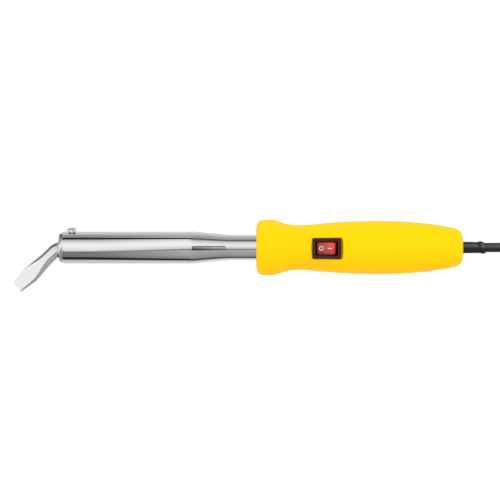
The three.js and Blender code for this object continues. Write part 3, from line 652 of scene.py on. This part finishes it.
def make_plug():
    """A round two-pin plug with an earth clip above and below, and a segmented cord sleeve."""
    lay = placed(0, PLUG_Y, PLUG_AXIS)
    rear = PLUG_X + 16
    front = rear + 36
    sleeve = [(PLUG_X + 0.3, 0), (PLUG_X + 0.3, 4.0)]
    rings = 4
    for i in range(rings):
        x = PLUG_X + 1.2 + i * 3.5
        radius = 4.35 + 0.36 * i
        sleeve += [(x, radius), (x + 2.1, radius + 0.12), (x + 2.4, radius - 0.75), (x + 3.2, radius - 0.7)]
    sleeve += [(rear - 0.3, 5.6), (rear - 0.3, 0)]
    mesh = to_mesh(moved(revolved(softened(sleeve, 0.3), 64), lay))
    pieces = [dressed("plug_cord_sleeve", mesh, "iron", "cord_rubber", ["plug_sleeve"])]

    outside = bezier((rear, 7.5), (rear + 5, 9.0), (rear + 6.5, 18.2), (rear + 16, PLUG_R), 24)
    outside = [(rear, 0)] + outside + softened([(rear + 16, PLUG_R), (front, PLUG_R), (front, 0)], 1.0)[1:]
    body = to_mesh(moved(revolved(outside, 128), lay))
    pin_y = 9.5
    tools = []
    for side in (1, -1):
        groove = box((rear + 20, front + 1), (-4.5, 4.5), (15 * side, 20 * side))
        hole = revolved([(front - 10, 0), (front - 10, 2.7), (front + 1, 2.7), (front + 1, 0)], 48)
        tools += [moved(groove, lay), moved(hole, placed(0, PLUG_Y + side * pin_y, PLUG_AXIS))]
        for x in (rear + 19.5 + i * 2.6 for i in range(5)):
            tools.append(moved(box((x, x + 1.1), (18.4 * side, 20 * side), (-9, 9)), lay))
    body = edges_eased(cut(body, *tools), 0.25)
    pieces.append(dressed("plug_moulding", body, "iron", "cord_rubber", ["plug_body"]))

    for i, side in enumerate((1, -1)):
        tip = bezier((front + 15.6, 2.4), (front + 17.8, 2.4), (front + 19, 1.3), (front + 19, 0), 10)
        pin = revolved([(front - 9.7, 0), (front - 9.7, 2.4)] + tip, 48)
        mesh = to_mesh(moved(pin, placed(0, PLUG_Y + side * pin_y, PLUG_AXIS)))
        pieces.append(dressed(f"plug_round_pin_{i + 1}", mesh, "iron", "plug_nickel", [f"plug_pin_{i + 1}"]))
        clip = box((rear + 20.3, front - 0.5), (-3, 3), (15.3 * side, 16.3 * side))
        dimples = [moved(box((x, x + 1.2), (-1.6, 1.6), (16 * side, 17.3 * side)), lay)
                   for x in (rear + 23 + n * 5.2 for n in range(3))]
        mesh = edges_eased(cut(to_mesh(moved(clip, lay)), *dimples), 0.2)
        pieces.append(dressed(f"plug_earth_strip_{i + 1}", mesh, "iron", "plug_nickel",
                              [f"plug_earth_clip_{i + 1}"]))
    return pieces


cord = make_cord()
on_cord = [make_tie(), *make_plug()]

# ---------------- handle


def handle_outside():
    """(x, radius) pairs of the handle's outside, from its front face to its rear face."""
    curves = [
        bezier((0, 13.2), (0.6, 19.4), (2.8, FLANGE_R), (7, FLANGE_R), 20),
        bezier((11, FLANGE_R), (16.4, FLANGE_R), (19.5, NECK_R), (NECK_X, NECK_R), 24),
        bezier((NECK_X, NECK_R), (44.2, NECK_R), (51.6, BULGE_R), (BULGE_X, BULGE_R), 60),
        bezier((BULGE_X, BULGE_R), (112.8, BULGE_R), (129.9, 16.6), (141.5, 14.3), 48),
        bezier((141.5, 14.3), (146.2, 13.4), (HANDLE_LENGTH, 11.5), (HANDLE_LENGTH, 7.5), 20),
    ]
    points = []
    for curve in curves:
        points += curve[1:] if points and dist(points[-1], curve[0]) < 0.01 else curve
    return points


def handle_inside():
    """(x, radius) pairs of the hollow in the shells, from the rear face to the front face."""
    return [
        (HANDLE_LENGTH, 4.65), (144.8, 4.65), (144.8, 9.9), (141, 10.4), (141, 5), (138, 5), (138, 12),
        (115, 15.4), (90, 16.4), (60, 15.2), (30, 13.4), (20, 13.5), (20, 9.45), (17.5, 9.45), (17.5, 13.3),
        (14.5, 13.3), (14.5, 9.45), (11.8, 9.45), (11, 16.8), (3, 16.8), (3, 9.45), (0, 9.45),
    ]


def half_shell(side, segments=96):
    """Half of the handle's wall, above (side 1) or below (side -1) the seam, its outer edges eased."""
    eased = [(0.0, 0.22), (0.07, 0.12), (0.16, 0.04), (0.3, 0.0)]
    outside, inside = handle_outside(), handle_inside()
    points = []
    for i, (x, r) in enumerate(outside + inside):
        start = asin(SEAM_HALF_GAP / r)
        near = [(start + step / r, drop if i < len(outside) else 0.0) for step, drop in eased]
        first, last = near[-1][0], pi - near[-1][0]
        middle = [(mix(first, last, j / segments), 0.0) for j in range(1, segments)]
        far = [(pi - angle, drop) for angle, drop in near[::-1]]
        for angle, drop in near + middle + far:
            points.append((x, (r - drop) * cos(angle), side * (r - drop) * sin(angle)))
    rows = len(outside) + len(inside)
    across = len(points) // rows
    faces = grid_faces(rows, across, True, False)
    faces.append([i * across for i in range(rows)])
    faces.append([i * across + across - 1 for i in range(rows)])
    return points, faces


def screw_posts(z_span):
    """The posts that take the shell screws, trimmed to the handle's outside."""
    columns = [upright(x, y, z_span, SCREW_POST_R, 32) for x, y in SCREW_PLACES]
    profile = handle_outside()
    outside = revolved([(profile[0][0], 0)] + profile + [(profile[-1][0], 0)], 128)
    return combined(to_mesh(*columns), to_mesh(outside), "INTERSECT")


def make_handle():
    top = to_mesh(half_shell(1))
    pad = box((LAND_X[0] - 0.5, LAND_X[1] + 0.5), (-LAND_HALF_WIDTH, LAND_HALF_WIDTH), (12.5, LAND_Z))
    middle = sum(LAND_X) / 2
    half_land = (LAND_X[1] - LAND_X[0]) / 2
    pocket = lofted([[(middle + x, y, z) for x, y in outline_box(half_land + flare, LAND_HALF_WIDTH, 0.5)]
                     for flare, z in ((0.0, LAND_Z), (4.5, 25))])
    hole = box((SWITCH_X - CUTOUT_HALF_LENGTH, SWITCH_X + CUTOUT_HALF_LENGTH),
               (-CUTOUT_HALF_WIDTH, CUTOUT_HALF_WIDTH), (0, 25))
    top = combined(top, screw_posts((SEAM_HALF_GAP, 14)), "UNION")
    top = combined(top, to_mesh(pad), "UNION")
    top = cut(top, pocket)
    top = cut(top, hole, *[upright(x, y, (-1, 8.5), SCREW_BORE_R, 24) for x, y in SCREW_PLACES])
    dressed("handle_shell_upper", top, "iron", "handle_yellow", ["handle_top_shell"], sharp=28)

    bottom = to_mesh(half_shell(-1))
    bottom = combined(bottom, screw_posts((-17, -SEAM_HALF_GAP)), "UNION")
    bottom = cut(bottom, *[upright(x, y, (-25, SCREW_SEAT_Z), SCREW_SEAT_R, 48) for x, y in SCREW_PLACES])
    bottom = cut(bottom, *[upright(x, y, (-20, 1), SCREW_BORE_R, 24) for x, y in SCREW_PLACES])
    dressed("handle_shell_lower", bottom, "iron", "handle_yellow", ["handle_bottom_shell"], sharp=28)

    for i, (x, y) in enumerate(SCREW_PLACES):
        head = SCREW_SEAT_Z - 2.4
        profile = [(head, 0), (head, 1.7), (head + 0.35, 2.5), (head + 1.0, 2.7), (SCREW_SEAT_Z - 0.3, 2.7),
                   (SCREW_SEAT_Z - 0.3, 1.45), (7.4, 1.45), (8.2, 0.5), (8.2, 0)]
        mesh = to_mesh(moved(along_z(revolved(softened(profile, 0.2), 48)), placed(x, y)))
        for angle in (0.4, 0.4 + pi / 2):
            slot = box((-1.5, 1.5), (-0.33, 0.33), (-1, 1.1))
            mesh = cut(mesh, moved(slot, placed(x, y, head) @ turned("Z", angle + 0.7 * i)))
        dressed(f"underside_screw_{i + 1}", mesh, "iron", "steel", [f"shell_screw_{i + 1}"])


make_handle()

# ---------------- barrel, clamp screw and bit


def make_barrel():
    inner, stem_bore = BARREL_R - TUBE_WALL, STEM_R - TUBE_WALL
    front_turn = bezier((BARREL_FRONT, MOUTH_R + 0.3), (BARREL_FRONT + 0.35, 9.9),
                        (BARREL_FRONT + 1.7, BARREL_R), (BARREL_FRONT + 4.6, BARREL_R), 16)
    outside = softened([(BARREL_FRONT + 4.6, BARREL_R), (TAPER_FRONT, BARREL_R), (TAPER_FRONT + 8, 10.65),
                        (TAPER_FRONT + 16, 9.85), (TAPER_REAR, STEM_R), (STEM_REAR, STEM_R)], 3.5, steps=6)
    profile = front_turn + outside[1:] + [
        (STEM_REAR, stem_bore), (TAPER_REAR - 0.3, stem_bore), (TAPER_FRONT + 15.8, 8.95),
        (TAPER_FRONT + 7.8, 9.75), (TAPER_FRONT - 0.2, inner), (BARREL_FRONT + 3.8, inner),
        (BARREL_FRONT + 1.9, 9.9), (BARREL_FRONT + 1, MOUTH_R), (BARREL_FRONT + 0.25, MOUTH_R)]
    mesh = to_mesh(revolved(profile, 192, ring=True))
    bar = outline_box((SLOT_X[1] - SLOT_X[0]) / 2, SLOT_HALF_WIDTH, SLOT_HALF_WIDTH - 0.01, 10)
    middle = sum(SLOT_X) / 2
    slot = lofted([[(middle + x, y, z) for x, y in bar] for z in (7.5, 14)])
    hole = moved(upright(0, 0, (8, 14), 2.3, 48), placed(CLAMP_X) @ turned("X", CLAMP_TILT - pi / 2))
    mesh = cut(mesh, *[moved(slot, turned("X", quarter * pi / 2)) for quarter in range(4)])
    mesh = cut(mesh, hole)
    dressed("heater_barrel_tube", mesh, "iron", "barrel_chrome", ["heater_barrel"], sharp=30)


def make_clamp_screw():
    """A pan-head screw with a cross recess, on an axis leaning a little up from +y."""
    base, edge = BARREL_R + 0.45, BARREL_R + 2.6
    crown = edge + 0.6
    profile = [(BIT_R + 0.3, 0), (BIT_R + 0.3, 1.6), (BIT_R + 0.8, 2.0), (base, 2.0), (base, 3.15),
               (base + 0.75, 3.6), (base + 0.9, 3.58)]
    profile += bezier((base + 1.8, 3.3), (edge + 0.2, 3.1), (crown - 0.1, 2.4), (crown, 0), 14)
    stand = placed(CLAMP_X) @ turned("X", CLAMP_TILT - pi / 2)
    mesh = to_mesh(moved(along_z(revolved(profile, 64)), stand))
    for angle in (0.35, 0.35 + pi / 2):
        arm = moved(box((-2.0, 2.0), (-0.45, 0.45), (crown - 1.2, crown + 1)), stand @ turned("Z", angle))
        mesh = cut(mesh, arm)
    dressed("clamp_screw_pan", edges_eased(mesh, 0.08), "clamp_screw", "steel", ["bit_clamp_screw"],
            finish="screw_bright")


def bit_station(along):
    """Centre and sideways vector at a distance along the bit's middle line from the start of its bend."""
    angle = min(max(along / BEND_LENGTH, 0.0), 1.0) * BEND_ANGLE
    past = max(along - BEND_LENGTH, 0.0)
    before = min(along, 0.0)
    centre = Vector((BEND_START - before - BEND_R * sin(angle) - past * cos(angle),
                     -BEND_R * (1 - cos(angle)) - past * sin(angle), 0))
    return centre, Vector((-sin(angle), cos(angle), 0))


def bit_section(past):
    """The section past the bend: half its thickness, how far a flat reaches from the middle on its long
    and on its short side, and half the width across the rounded sides."""
    flattened = smoothstep(past, -8.5, -5)
    forged = smoothstep(past, 5, 25)
    crowned = smoothstep(past, 5, 26)
    ground = max(past - SHOULDER, 0.0) / (TIP - SHOULDER)
    thickness = mix(mix(BIT_R * 0.998, 4.12, flattened), 2.85, forged)
    long_side = mix(mix(BIT_R * 0.06, 2.65, flattened), 5.95, forged)
    short_side = mix(mix(BIT_R * 0.06, 1.0, flattened), 5.8, crowned)
    side = mix(mix(BIT_R, 5.1, flattened), 6.65, forged)
    return (mix(thickness, BIT_TIP_HALF_THICKNESS, ground), mix(long_side, BIT_TIP_HALF_WIDTH, ground),
            mix(short_side, BIT_TIP_HALF_WIDTH, ground), mix(side, BIT_TIP_HALF_WIDTH + 0.2, ground))


def bit_outline(past, flat_steps=10, side_steps=14, ease_steps=4):
    """(u, v) pairs round the section at a distance past the bend: two flats, rounded sides, eased creases."""
    thickness, long_side, short_side, side = bit_section(past)
    ease = min(0.3, 0.25 * thickness)

    def arc(reach):
        """Height of a side's ellipse, and the angle on it where the easing of its crease ends."""
        height = thickness / sqrt(1 - (reach / side) ** 2)
        crease = asin(thickness / height)
        speed = hypot(side * sin(crease), height * cos(crease))
        return height, crease - min(ease / speed, 0.4 * crease)

    def eased(start, corner, end):
        points = []
        for t in (i / ease_steps for i in range(ease_steps)):
            weights = ((1 - t) ** 2, 2 * t * (1 - t), t * t)
            points.append(tuple(sum(w * p[k] for w, p in zip(weights, (start, corner, end))) for k in (0, 1)))
        return points

    flat_ease = min(ease, 0.4 * (long_side + short_side))
    flat_start = (short_side - flat_ease, thickness)
    flat_end = (-long_side + flat_ease, thickness)
    half = [(mix(flat_start[0], flat_end[0], i / flat_steps), thickness) for i in range(flat_steps)]
    height, start = arc(long_side)
    half += eased(flat_end, (-long_side, thickness), (-side * cos(start), height * sin(start)))
    for i in range(side_steps):
        angle = mix(start, 0.0, i / side_steps)
        half.append((-side * cos(angle), height * sin(angle)))
    height, end = arc(short_side)
    for i in range(side_steps):
        angle = mix(0.0, end, i / side_steps)
        half.append((-side * cos(angle), -height * sin(angle)))
    half += eased((-side * cos(end), -height * sin(end)), (-short_side, -thickness),
                  (-flat_start[0], -thickness))
    return half + [(-u, -v) for u, v in half]


def bit_ring(along, shrink=1.0):
    """The bit's section at a distance along it, rolled about its middle line and shrunk."""
    centre, sideways = bit_station(along)
    ring = []
    for u, v in bit_outline(along - BEND_LENGTH):
        across = shrink * (u * cos(BIT_ROLL) + v * sin(BIT_ROLL))
        up = shrink * (-u * sin(BIT_ROLL) + v * cos(BIT_ROLL))
        ring.append((centre.x + across * sideways.x, centre.y + across * sideways.y, up))
    return ring


def make_bit():
    rear = BEND_START - BIT_REAR
    loops = [bit_ring(rear, 0.88), bit_ring(rear - 0.6)]
    loops += [bit_ring(rear * (1 - i / 10)) for i in range(1, 10)]
    loops += [bit_ring(BEND_LENGTH * i / 20) for i in range(20)]
    loops += [bit_ring(BEND_LENGTH + SHOULDER * i / 50) for i in range(50)]
    loops += [bit_ring(BEND_LENGTH + mix(SHOULDER, TIP, i / 14)) for i in range(15)]
    mesh = to_mesh(lofted(loops))
    dressed("bit_forged", mesh, "bit", "bit_plating", ["soldering_bit"], sharp=22)


make_barrel()
make_clamp_screw()
make_bit()

# ---------------- switch


def make_switch_housing():
    low, high = LAND_Z + 0.1, LAND_Z + 2.1
    steps = [
        (9.3, 6.15, 0.4, 2.5), (9.3, 6.15, 0.4, low), (10.35, 7.35, 1.1, low), (10.5, 7.5, 1.2, low + 0.15),
        (10.5, 7.5, 1.2, high - 0.55), (10.42, 7.42, 1.15, high - 0.25), (10.2, 7.2, 1.0, high - 0.06),
        (9.9, 6.9, 0.9, high), (8.4, 5.5, 0.5, high), (8.15, 5.25, 0.45, high - 0.06),
        (7.85, 4.95, 0.4, high - 0.3), (7.65, 4.75, 0.35, high - 0.9), (7.65, 4.75, 0.35, 4.2),
    ]
    loops = [[(SWITCH_X + x, y, z) for x, y in outline_box(hx, hy, corner)] for hx, hy, corner, z in steps]
    mesh = to_mesh(lofted(loops))
    dressed("switch_bezel", mesh, "iron", "switch_black", ["switch_housing"], sharp=40)


def rocker_top(x):
    """Height of a level rocker's face above its pivot, at a distance along it."""
    t = min(abs(x) / ROCKER_END_X, 1.0)
    return ROCKER_END_Z - ROCKER_HOLLOW * (1 - t * t)


def rocker_stand():
    """Takes a level rocker about its pivot to its place in the handle, tipped to O."""
    return placed(SWITCH_X, 0, ROCKER_PIVOT_Z) @ turned("Y", -ROCKER_TILT)


def make_rocker():
    right = [(ROCKER_END_R * cos(a), ROCKER_END_R * sin(a))
             for a in (mix(ROCKER_LOW, ROCKER_HIGH, i / 8) for i in range(9))]
    top = [(x, rocker_top(x)) for x in (ROCKER_END_X * (1 - i / 12) for i in range(1, 24))]
    outline = right + top + [(-x, z) for x, z in right[::-1]]
    half = ROCKER_WIDTH / 2
    eased = [(0.45, half), (0.2, half - 0.07), (0.05, half - 0.25), (0.0, half - 0.5)]
    rows = [(inset, y) for inset, y in eased] + [(inset, -y) for inset, y in eased[::-1]]
    rim_z = sum(z for _, z in outline) / len(outline) - 1
    loops = []
    for inset, y in rows:
        shrink = 1 - inset / ROCKER_END_R
        loops.append([(x * shrink, y * (1 - 0.05 * (x / ROCKER_END_R) ** 2), z - inset if z > rim_z else z)
                      for x, z in outline])
    mesh = to_mesh(moved(lofted(loops), rocker_stand()))
    dressed("rocker_lens", mesh, "rocker", "rocker_red", ["switch_rocker"], sharp=40)

    def raised(name, outer, inner=None):
        """A thin mark lying on the rocker's face, from outlines seen from above."""
        foot, top = -0.1, 0.045
        levels = [(outer, foot), (outer, top)] + ([(inner, top), (inner, foot)] if inner else [])
        loops = [[(x, y, rocker_top(x) + lift) for x, y in outline] for outline, lift in levels]
        mesh = to_mesh(moved(lofted(loops, ring=inner is not None), rocker_stand()))
        dressed(name, mesh, "rocker", "white_plastic", finish="mark_white")

    def ring(radius):
        return [(-3.55 + radius * cos(a), 0.1 + 1.08 * radius * sin(a)) for a in turns(48)]

    raised("rocker_mark_off", ring(1.5), ring(1.06))
    raised("rocker_mark_on", [(2.6 + x, 0.1 + y) for x, y in outline_box(1.45, 0.32, 0.15, 4)])


make_switch_housing()
make_rocker()

# ---------------- strain relief


def make_strain_relief():
    """A tapered rubber sleeve round the cord, whose end bead sits a little askew."""
    bore = CORD_R + 0.12
    profile = softened([
        (SLEEVE_FRONT, bore), (SLEEVE_FRONT, 4.6), (141.3, 4.6), (141.3, 6.6), (144.4, 6.6), (144.4, 4.3),
        (148.6, 4.25), (160.2, 4.05), (161.1, 4.5), (162.5, 4.65), (SLEEVE_REAR, 4.2), (SLEEVE_REAR, bore)],
        0.45, closed=True)
    points, faces = revolved(profile, 96, ring=True)
    skewed = [(x - 0.22 * y * smoothstep(x, 157, 161), y, z) for x, y, z in points]
    mesh = to_mesh((skewed, faces))
    dressed("cord_strain_sleeve", mesh, "iron", "cord_rubber", ["strain_relief"],
            finish="sleeve_rubber", sharp=50)


make_strain_relief()

# ---------------- finishes of the CAD nodes that stay

SLOT_OF_NODE = {part["node"]: part["material_slot"] for part in frame["record"]["subparts"]}
for node_name, node in frame["nodes"].items():
    if not node.hide_render:
        finish = MATERIALS[SLOT_OF_NODE[node_name]]
        if not node.data.materials:
            node.data.materials.append(finish)
        for index in range(len(node.material_slots)):
            node.material_slots[index].material = finish

# ---------------- stage and light

FLOOR_HALF = 3.0


def make_floor():
    """White ground at z = 0, some metres across, which is not mirrored."""
    mesh = bpy.data.meshes.new("floor")
    corners = [(x * FLOOR_HALF, y * FLOOR_HALF, 0) for x, y in ((-1, -1), (1, -1), (1, 1), (-1, 1))]
    mesh.from_pydata(corners, [], [(0, 1, 2, 3)])
    nodes = Nodes("floor_white")
    nodes.set(Base_Color=(0.22, 0.22, 0.22, 1), Roughness=0.9, Specular_IOR_Level=0.0)
    nodes.set(Emission_Color=(1, 1, 1, 1), Emission_Strength=0.84)
    mesh.materials.append(nodes.material)
    floor = add_object("floor", mesh)
    floor.visible_glossy = False


# What the polished tube sees round it: for places along the iron, in millimetres, the brightness of
# the studio at angles in degrees from straight up towards +y.
STUDIO_FRONT = [
    (-180, 0.63), (-124, 0.63), (-106, 0.55), (-99, 0.25), (-94, 0.01), (-77, 0.02), (-71, 0.17),
    (-52, 0.2), (-35, 0.18), (-31, 0.18), (-28, 0.55), (-22, 0.72), (-9, 0.88), (7, 0.93),
    (20, 0.97), (36, 0.78), (52, 0.5), (56, 0.46), (61.5, 0.01), (71.5, 0.01), (76, 0.19),
    (87, 0.29), (97, 0.33), (109, 0.48), (122, 0.63), (140, 0.67), (180, 0.73),
]
STUDIO_REAR = [
    (-180, 0.66), (-124, 0.66), (-115, 0.55), (-108, 0.22), (-104, 0.01), (-93, 0.01), (-88, 0.22),
    (-60, 0.37), (-19.5, 0.47), (-16.5, 0.16), (-12, 0.18), (-9, 0.64), (0, 0.73), (10, 0.87),
    (22, 0.94), (40, 0.91), (57, 0.73), (62, 0.55), (65.5, 0.01), (72, 0.01), (75, 0.42),
    (90, 0.46), (97, 0.42), (109, 0.53), (122, 0.64), (140, 0.69), (180, 0.73),
]
STUDIO_STEM = [
    (-180, 0.78), (-130, 0.74), (-119, 0.6), (-113, 0.3), (-108, 0.05), (-99, 0.06), (-93, 0.22),
    (-75, 0.31), (-24, 0.43), (-21, 0.2), (-15, 0.22), (-11, 0.5), (-2, 0.68), (10, 0.85),
    (20, 0.9), (36, 0.8), (50, 0.58), (57, 0.36), (63, 0.1), (70, 0.1), (76, 0.38), (84, 0.36),
    (95, 0.42), (110, 0.52), (125, 0.62), (140, 0.72), (180, 0.8),
]
LOW_SIDE = [
    (76, 0.34), (84, 0.36), (95, 0.38), (108, 0.5), (125, 0.62), (140, 0.72), (180, 0.8),
]
STUDIO_TAPER = [
    (-180, 0.78), (-130, 0.72), (-115, 0.6), (-106, 0.3), (-100, 0.06), (-89, 0.06), (-82, 0.28),
    (-64, 0.31), (-24, 0.41), (-21, 0.2), (-15, 0.22), (-11, 0.5), (-2, 0.68), (10, 0.85),
    (20, 0.9), (34, 0.76), (50, 0.6), (56, 0.42), (62, 0.12), (70, 0.12),
    *LOW_SIDE,
]
STUDIO_SIDE = [
    (-180, 0.78), (-130, 0.72), (-118, 0.55), (-108, 0.3), (-100, 0.26), (-90, 0.28), (-80, 0.33),
    (-64, 0.4), (-30, 0.44), (-26, 0.3), (-20, 0.12), (-14, 0.12), (-6, 0.3), (4, 0.45), (12, 0.6),
    (24, 0.66), (40, 0.6), (50, 0.5), (60, 0.4), (70, 0.35),
    *LOW_SIDE,
]
STUDIO = [(-660, STUDIO_FRONT), (-236, STUDIO_FRONT), (-74, STUDIO_REAR), (-20, STUDIO_STEM),
          (270, STUDIO_TAPER), (480, STUDIO_SIDE), (6000, STUDIO_SIDE)]

# The same ahead of the iron, which its nose and its bit reflect.
AHEAD_NOSE = [
    (-180, 0.63), (-106, 0.55), (-97, 0.1), (-77, 0.03), (-71, 0.17), (-31, 0.18), (-26, 0.6),
    (-9, 0.88), (20, 0.95), (36, 0.78), (56, 0.46), (62, 0.02), (71, 0.02), (77, 0.2), (97, 0.33),
    (122, 0.63), (180, 0.73),
]
AHEAD_BEND = [
    (-180, 0.1), (-106, 0.4), (-97, 0.14), (-77, 0.08), (-71, 0.2), (-31, 0.22), (-26, 0.55),
    (-9, 0.8), (20, 0.9), (36, 0.8), (56, 0.6), (62, 0.05), (71, 0.03), (77, 0.14), (97, 0.2),
    (122, 0.12), (180, 0.06),
]
AHEAD_TURN = [
    (-180, 0.2), (-120, 0.35), (-97, 0.3), (-77, 0.24), (-60, 0.22), (-31, 0.3), (-20, 0.45),
    (0, 0.62), (20, 0.78), (36, 0.84), (50, 0.84), (62, 0.55), (72, 0.36), (80, 0.22), (105, 0.12),
    (128, 0.08), (180, 0.2),
]
AHEAD_FLAT = [
    (-180, 0.6), (-120, 0.4), (-97, 0.34), (-77, 0.31), (-60, 0.3), (-31, 0.33), (-20, 0.45),
    (0, 0.62), (12, 0.8), (22, 0.95), (48, 0.96), (62, 0.6), (72, 0.42), (80, 0.3), (105, 0.22),
    (128, 0.3), (180, 0.75),
]
AHEAD = [(-6000, AHEAD_FLAT), (-1560, AHEAD_FLAT), (-1250, AHEAD_TURN), (-790, AHEAD_BEND),
         (-710, AHEAD_NOSE), (-660, AHEAD_NOSE)]
STUDIO_R = 1500.0


def stage_reflection(name, mesh):
    """Puts a piece on the stage that shows in reflections alone."""
    thing = add_object(name, mesh)
    for kind in ("camera", "diffuse", "transmission", "volume_scatter", "shadow"):
        setattr(thing, f"visible_{kind}", False)


def glow(name, colour, strength=1.0):
    """A material that only shines, in a colour or in what a function given the node tree makes."""
    material = bpy.data.materials.new(name)
    material.use_nodes = True
    tree = material.node_tree
    tree.nodes.clear()
    emission = tree.nodes.new("ShaderNodeEmission")
    emission.inputs["Strength"].default_value = strength
    if callable(colour):
        tree.links.new(colour(tree), emission.inputs["Color"])
    else:
        emission.inputs["Color"].default_value = (*colour, 1)
    output = tree.nodes.new("ShaderNodeOutputMaterial")
    tree.links.new(emission.outputs[0], output.inputs["Surface"])
    material.cycles.emission_sampling = "NONE"
    return material


def make_studio(name, stations):
    """A light tent seen only in reflections, whose bright and dark bands run along the iron."""
    points, levels = [], []
    steps_between = 8
    for x, bands in stations:
        for i in range((len(bands) - 1) * steps_between + 1):
            band, t = min(i // steps_between, len(bands) - 2), i / steps_between
            (angle, level), (next_angle, next_level) = bands[band:band + 2]
            lean = radians(mix(angle, next_angle, t - band)) + CAMERA_LEAN
            points.append(at((x, STUDIO_R * sin(lean), STUDIO_R * cos(lean))))
            levels.append(mix(level, next_level, t - band))
    faces = grid_faces(len(stations), len(points) // len(stations), False, False)
    mesh = bpy.data.meshes.new(name)
    mesh.from_pydata(points, [], faces)
    brightness = mesh.attributes.new("brightness", "FLOAT", "POINT")
    brightness.data.foreach_set("value", levels)

    def read_brightness(tree):
        node = tree.nodes.new("ShaderNodeAttribute")
        node.attribute_name = "brightness"
        return node.outputs["Fac"]

    mesh.materials.append(glow(f"{name}_bands", read_brightness))
    stage_reflection(name, mesh)


def make_card(name, x_span, section, strength):
    """A white card folded to a section of (y, z) points along the iron, seen only in reflections."""
    corners = [at((x, y, z)) for x in x_span for y, z in section]
    count = len(section)
    mesh = bpy.data.meshes.new(name)
    mesh.from_pydata(corners, [], [(i, i + 1, i + 1 + count, i + count) for i in range(count - 1)])
    mesh.materials.append(glow(name, (1.0, 1.0, 1.0), strength))
    stage_reflection(name, mesh)


def make_lamp(name, place, size, energy):
    """A softbox pointing at the handle's front face, which lights but is not mirrored."""
    lamp = bpy.data.lights.new(name, "AREA")
    lamp.shape = "RECTANGLE"
    lamp.size, lamp.size_y = size
    lamp.energy = energy
    softbox = add_object(name, lamp)
    softbox.location = at(place)
    softbox.rotation_euler = Vector(place).to_track_quat("Z", "Y").to_euler()
    softbox.visible_glossy = False
    softbox.visible_camera = False


def make_light():
    world = bpy.data.worlds.new("studio_air")
    bpy.context.scene.world = world
    world.use_nodes = True
    background = world.node_tree.nodes["Background"]
    background.inputs["Color"].default_value = (1, 1, 1, 1)
    background.inputs["Strength"].default_value = 1.0
    make_lamp("overhead_softbox", (0, 710, 1370), (1.6, 1.0), 10.25)
    make_lamp("front_fill", (-1300, 100, 260), (0.8, 0.5), 3.0)
    make_lamp("rear_fill", (1300, 100, 300), (0.8, 0.5), 3.0)


make_floor()
make_studio("studio_tent", STUDIO)
make_studio("studio_ahead", AHEAD)
make_card("cord_sheen", (158, 320), [(12, 80), (60, 66), (88, 24)], 3.0)
make_light()
bpy.context.scene.view_settings.view_transform = "Standard"
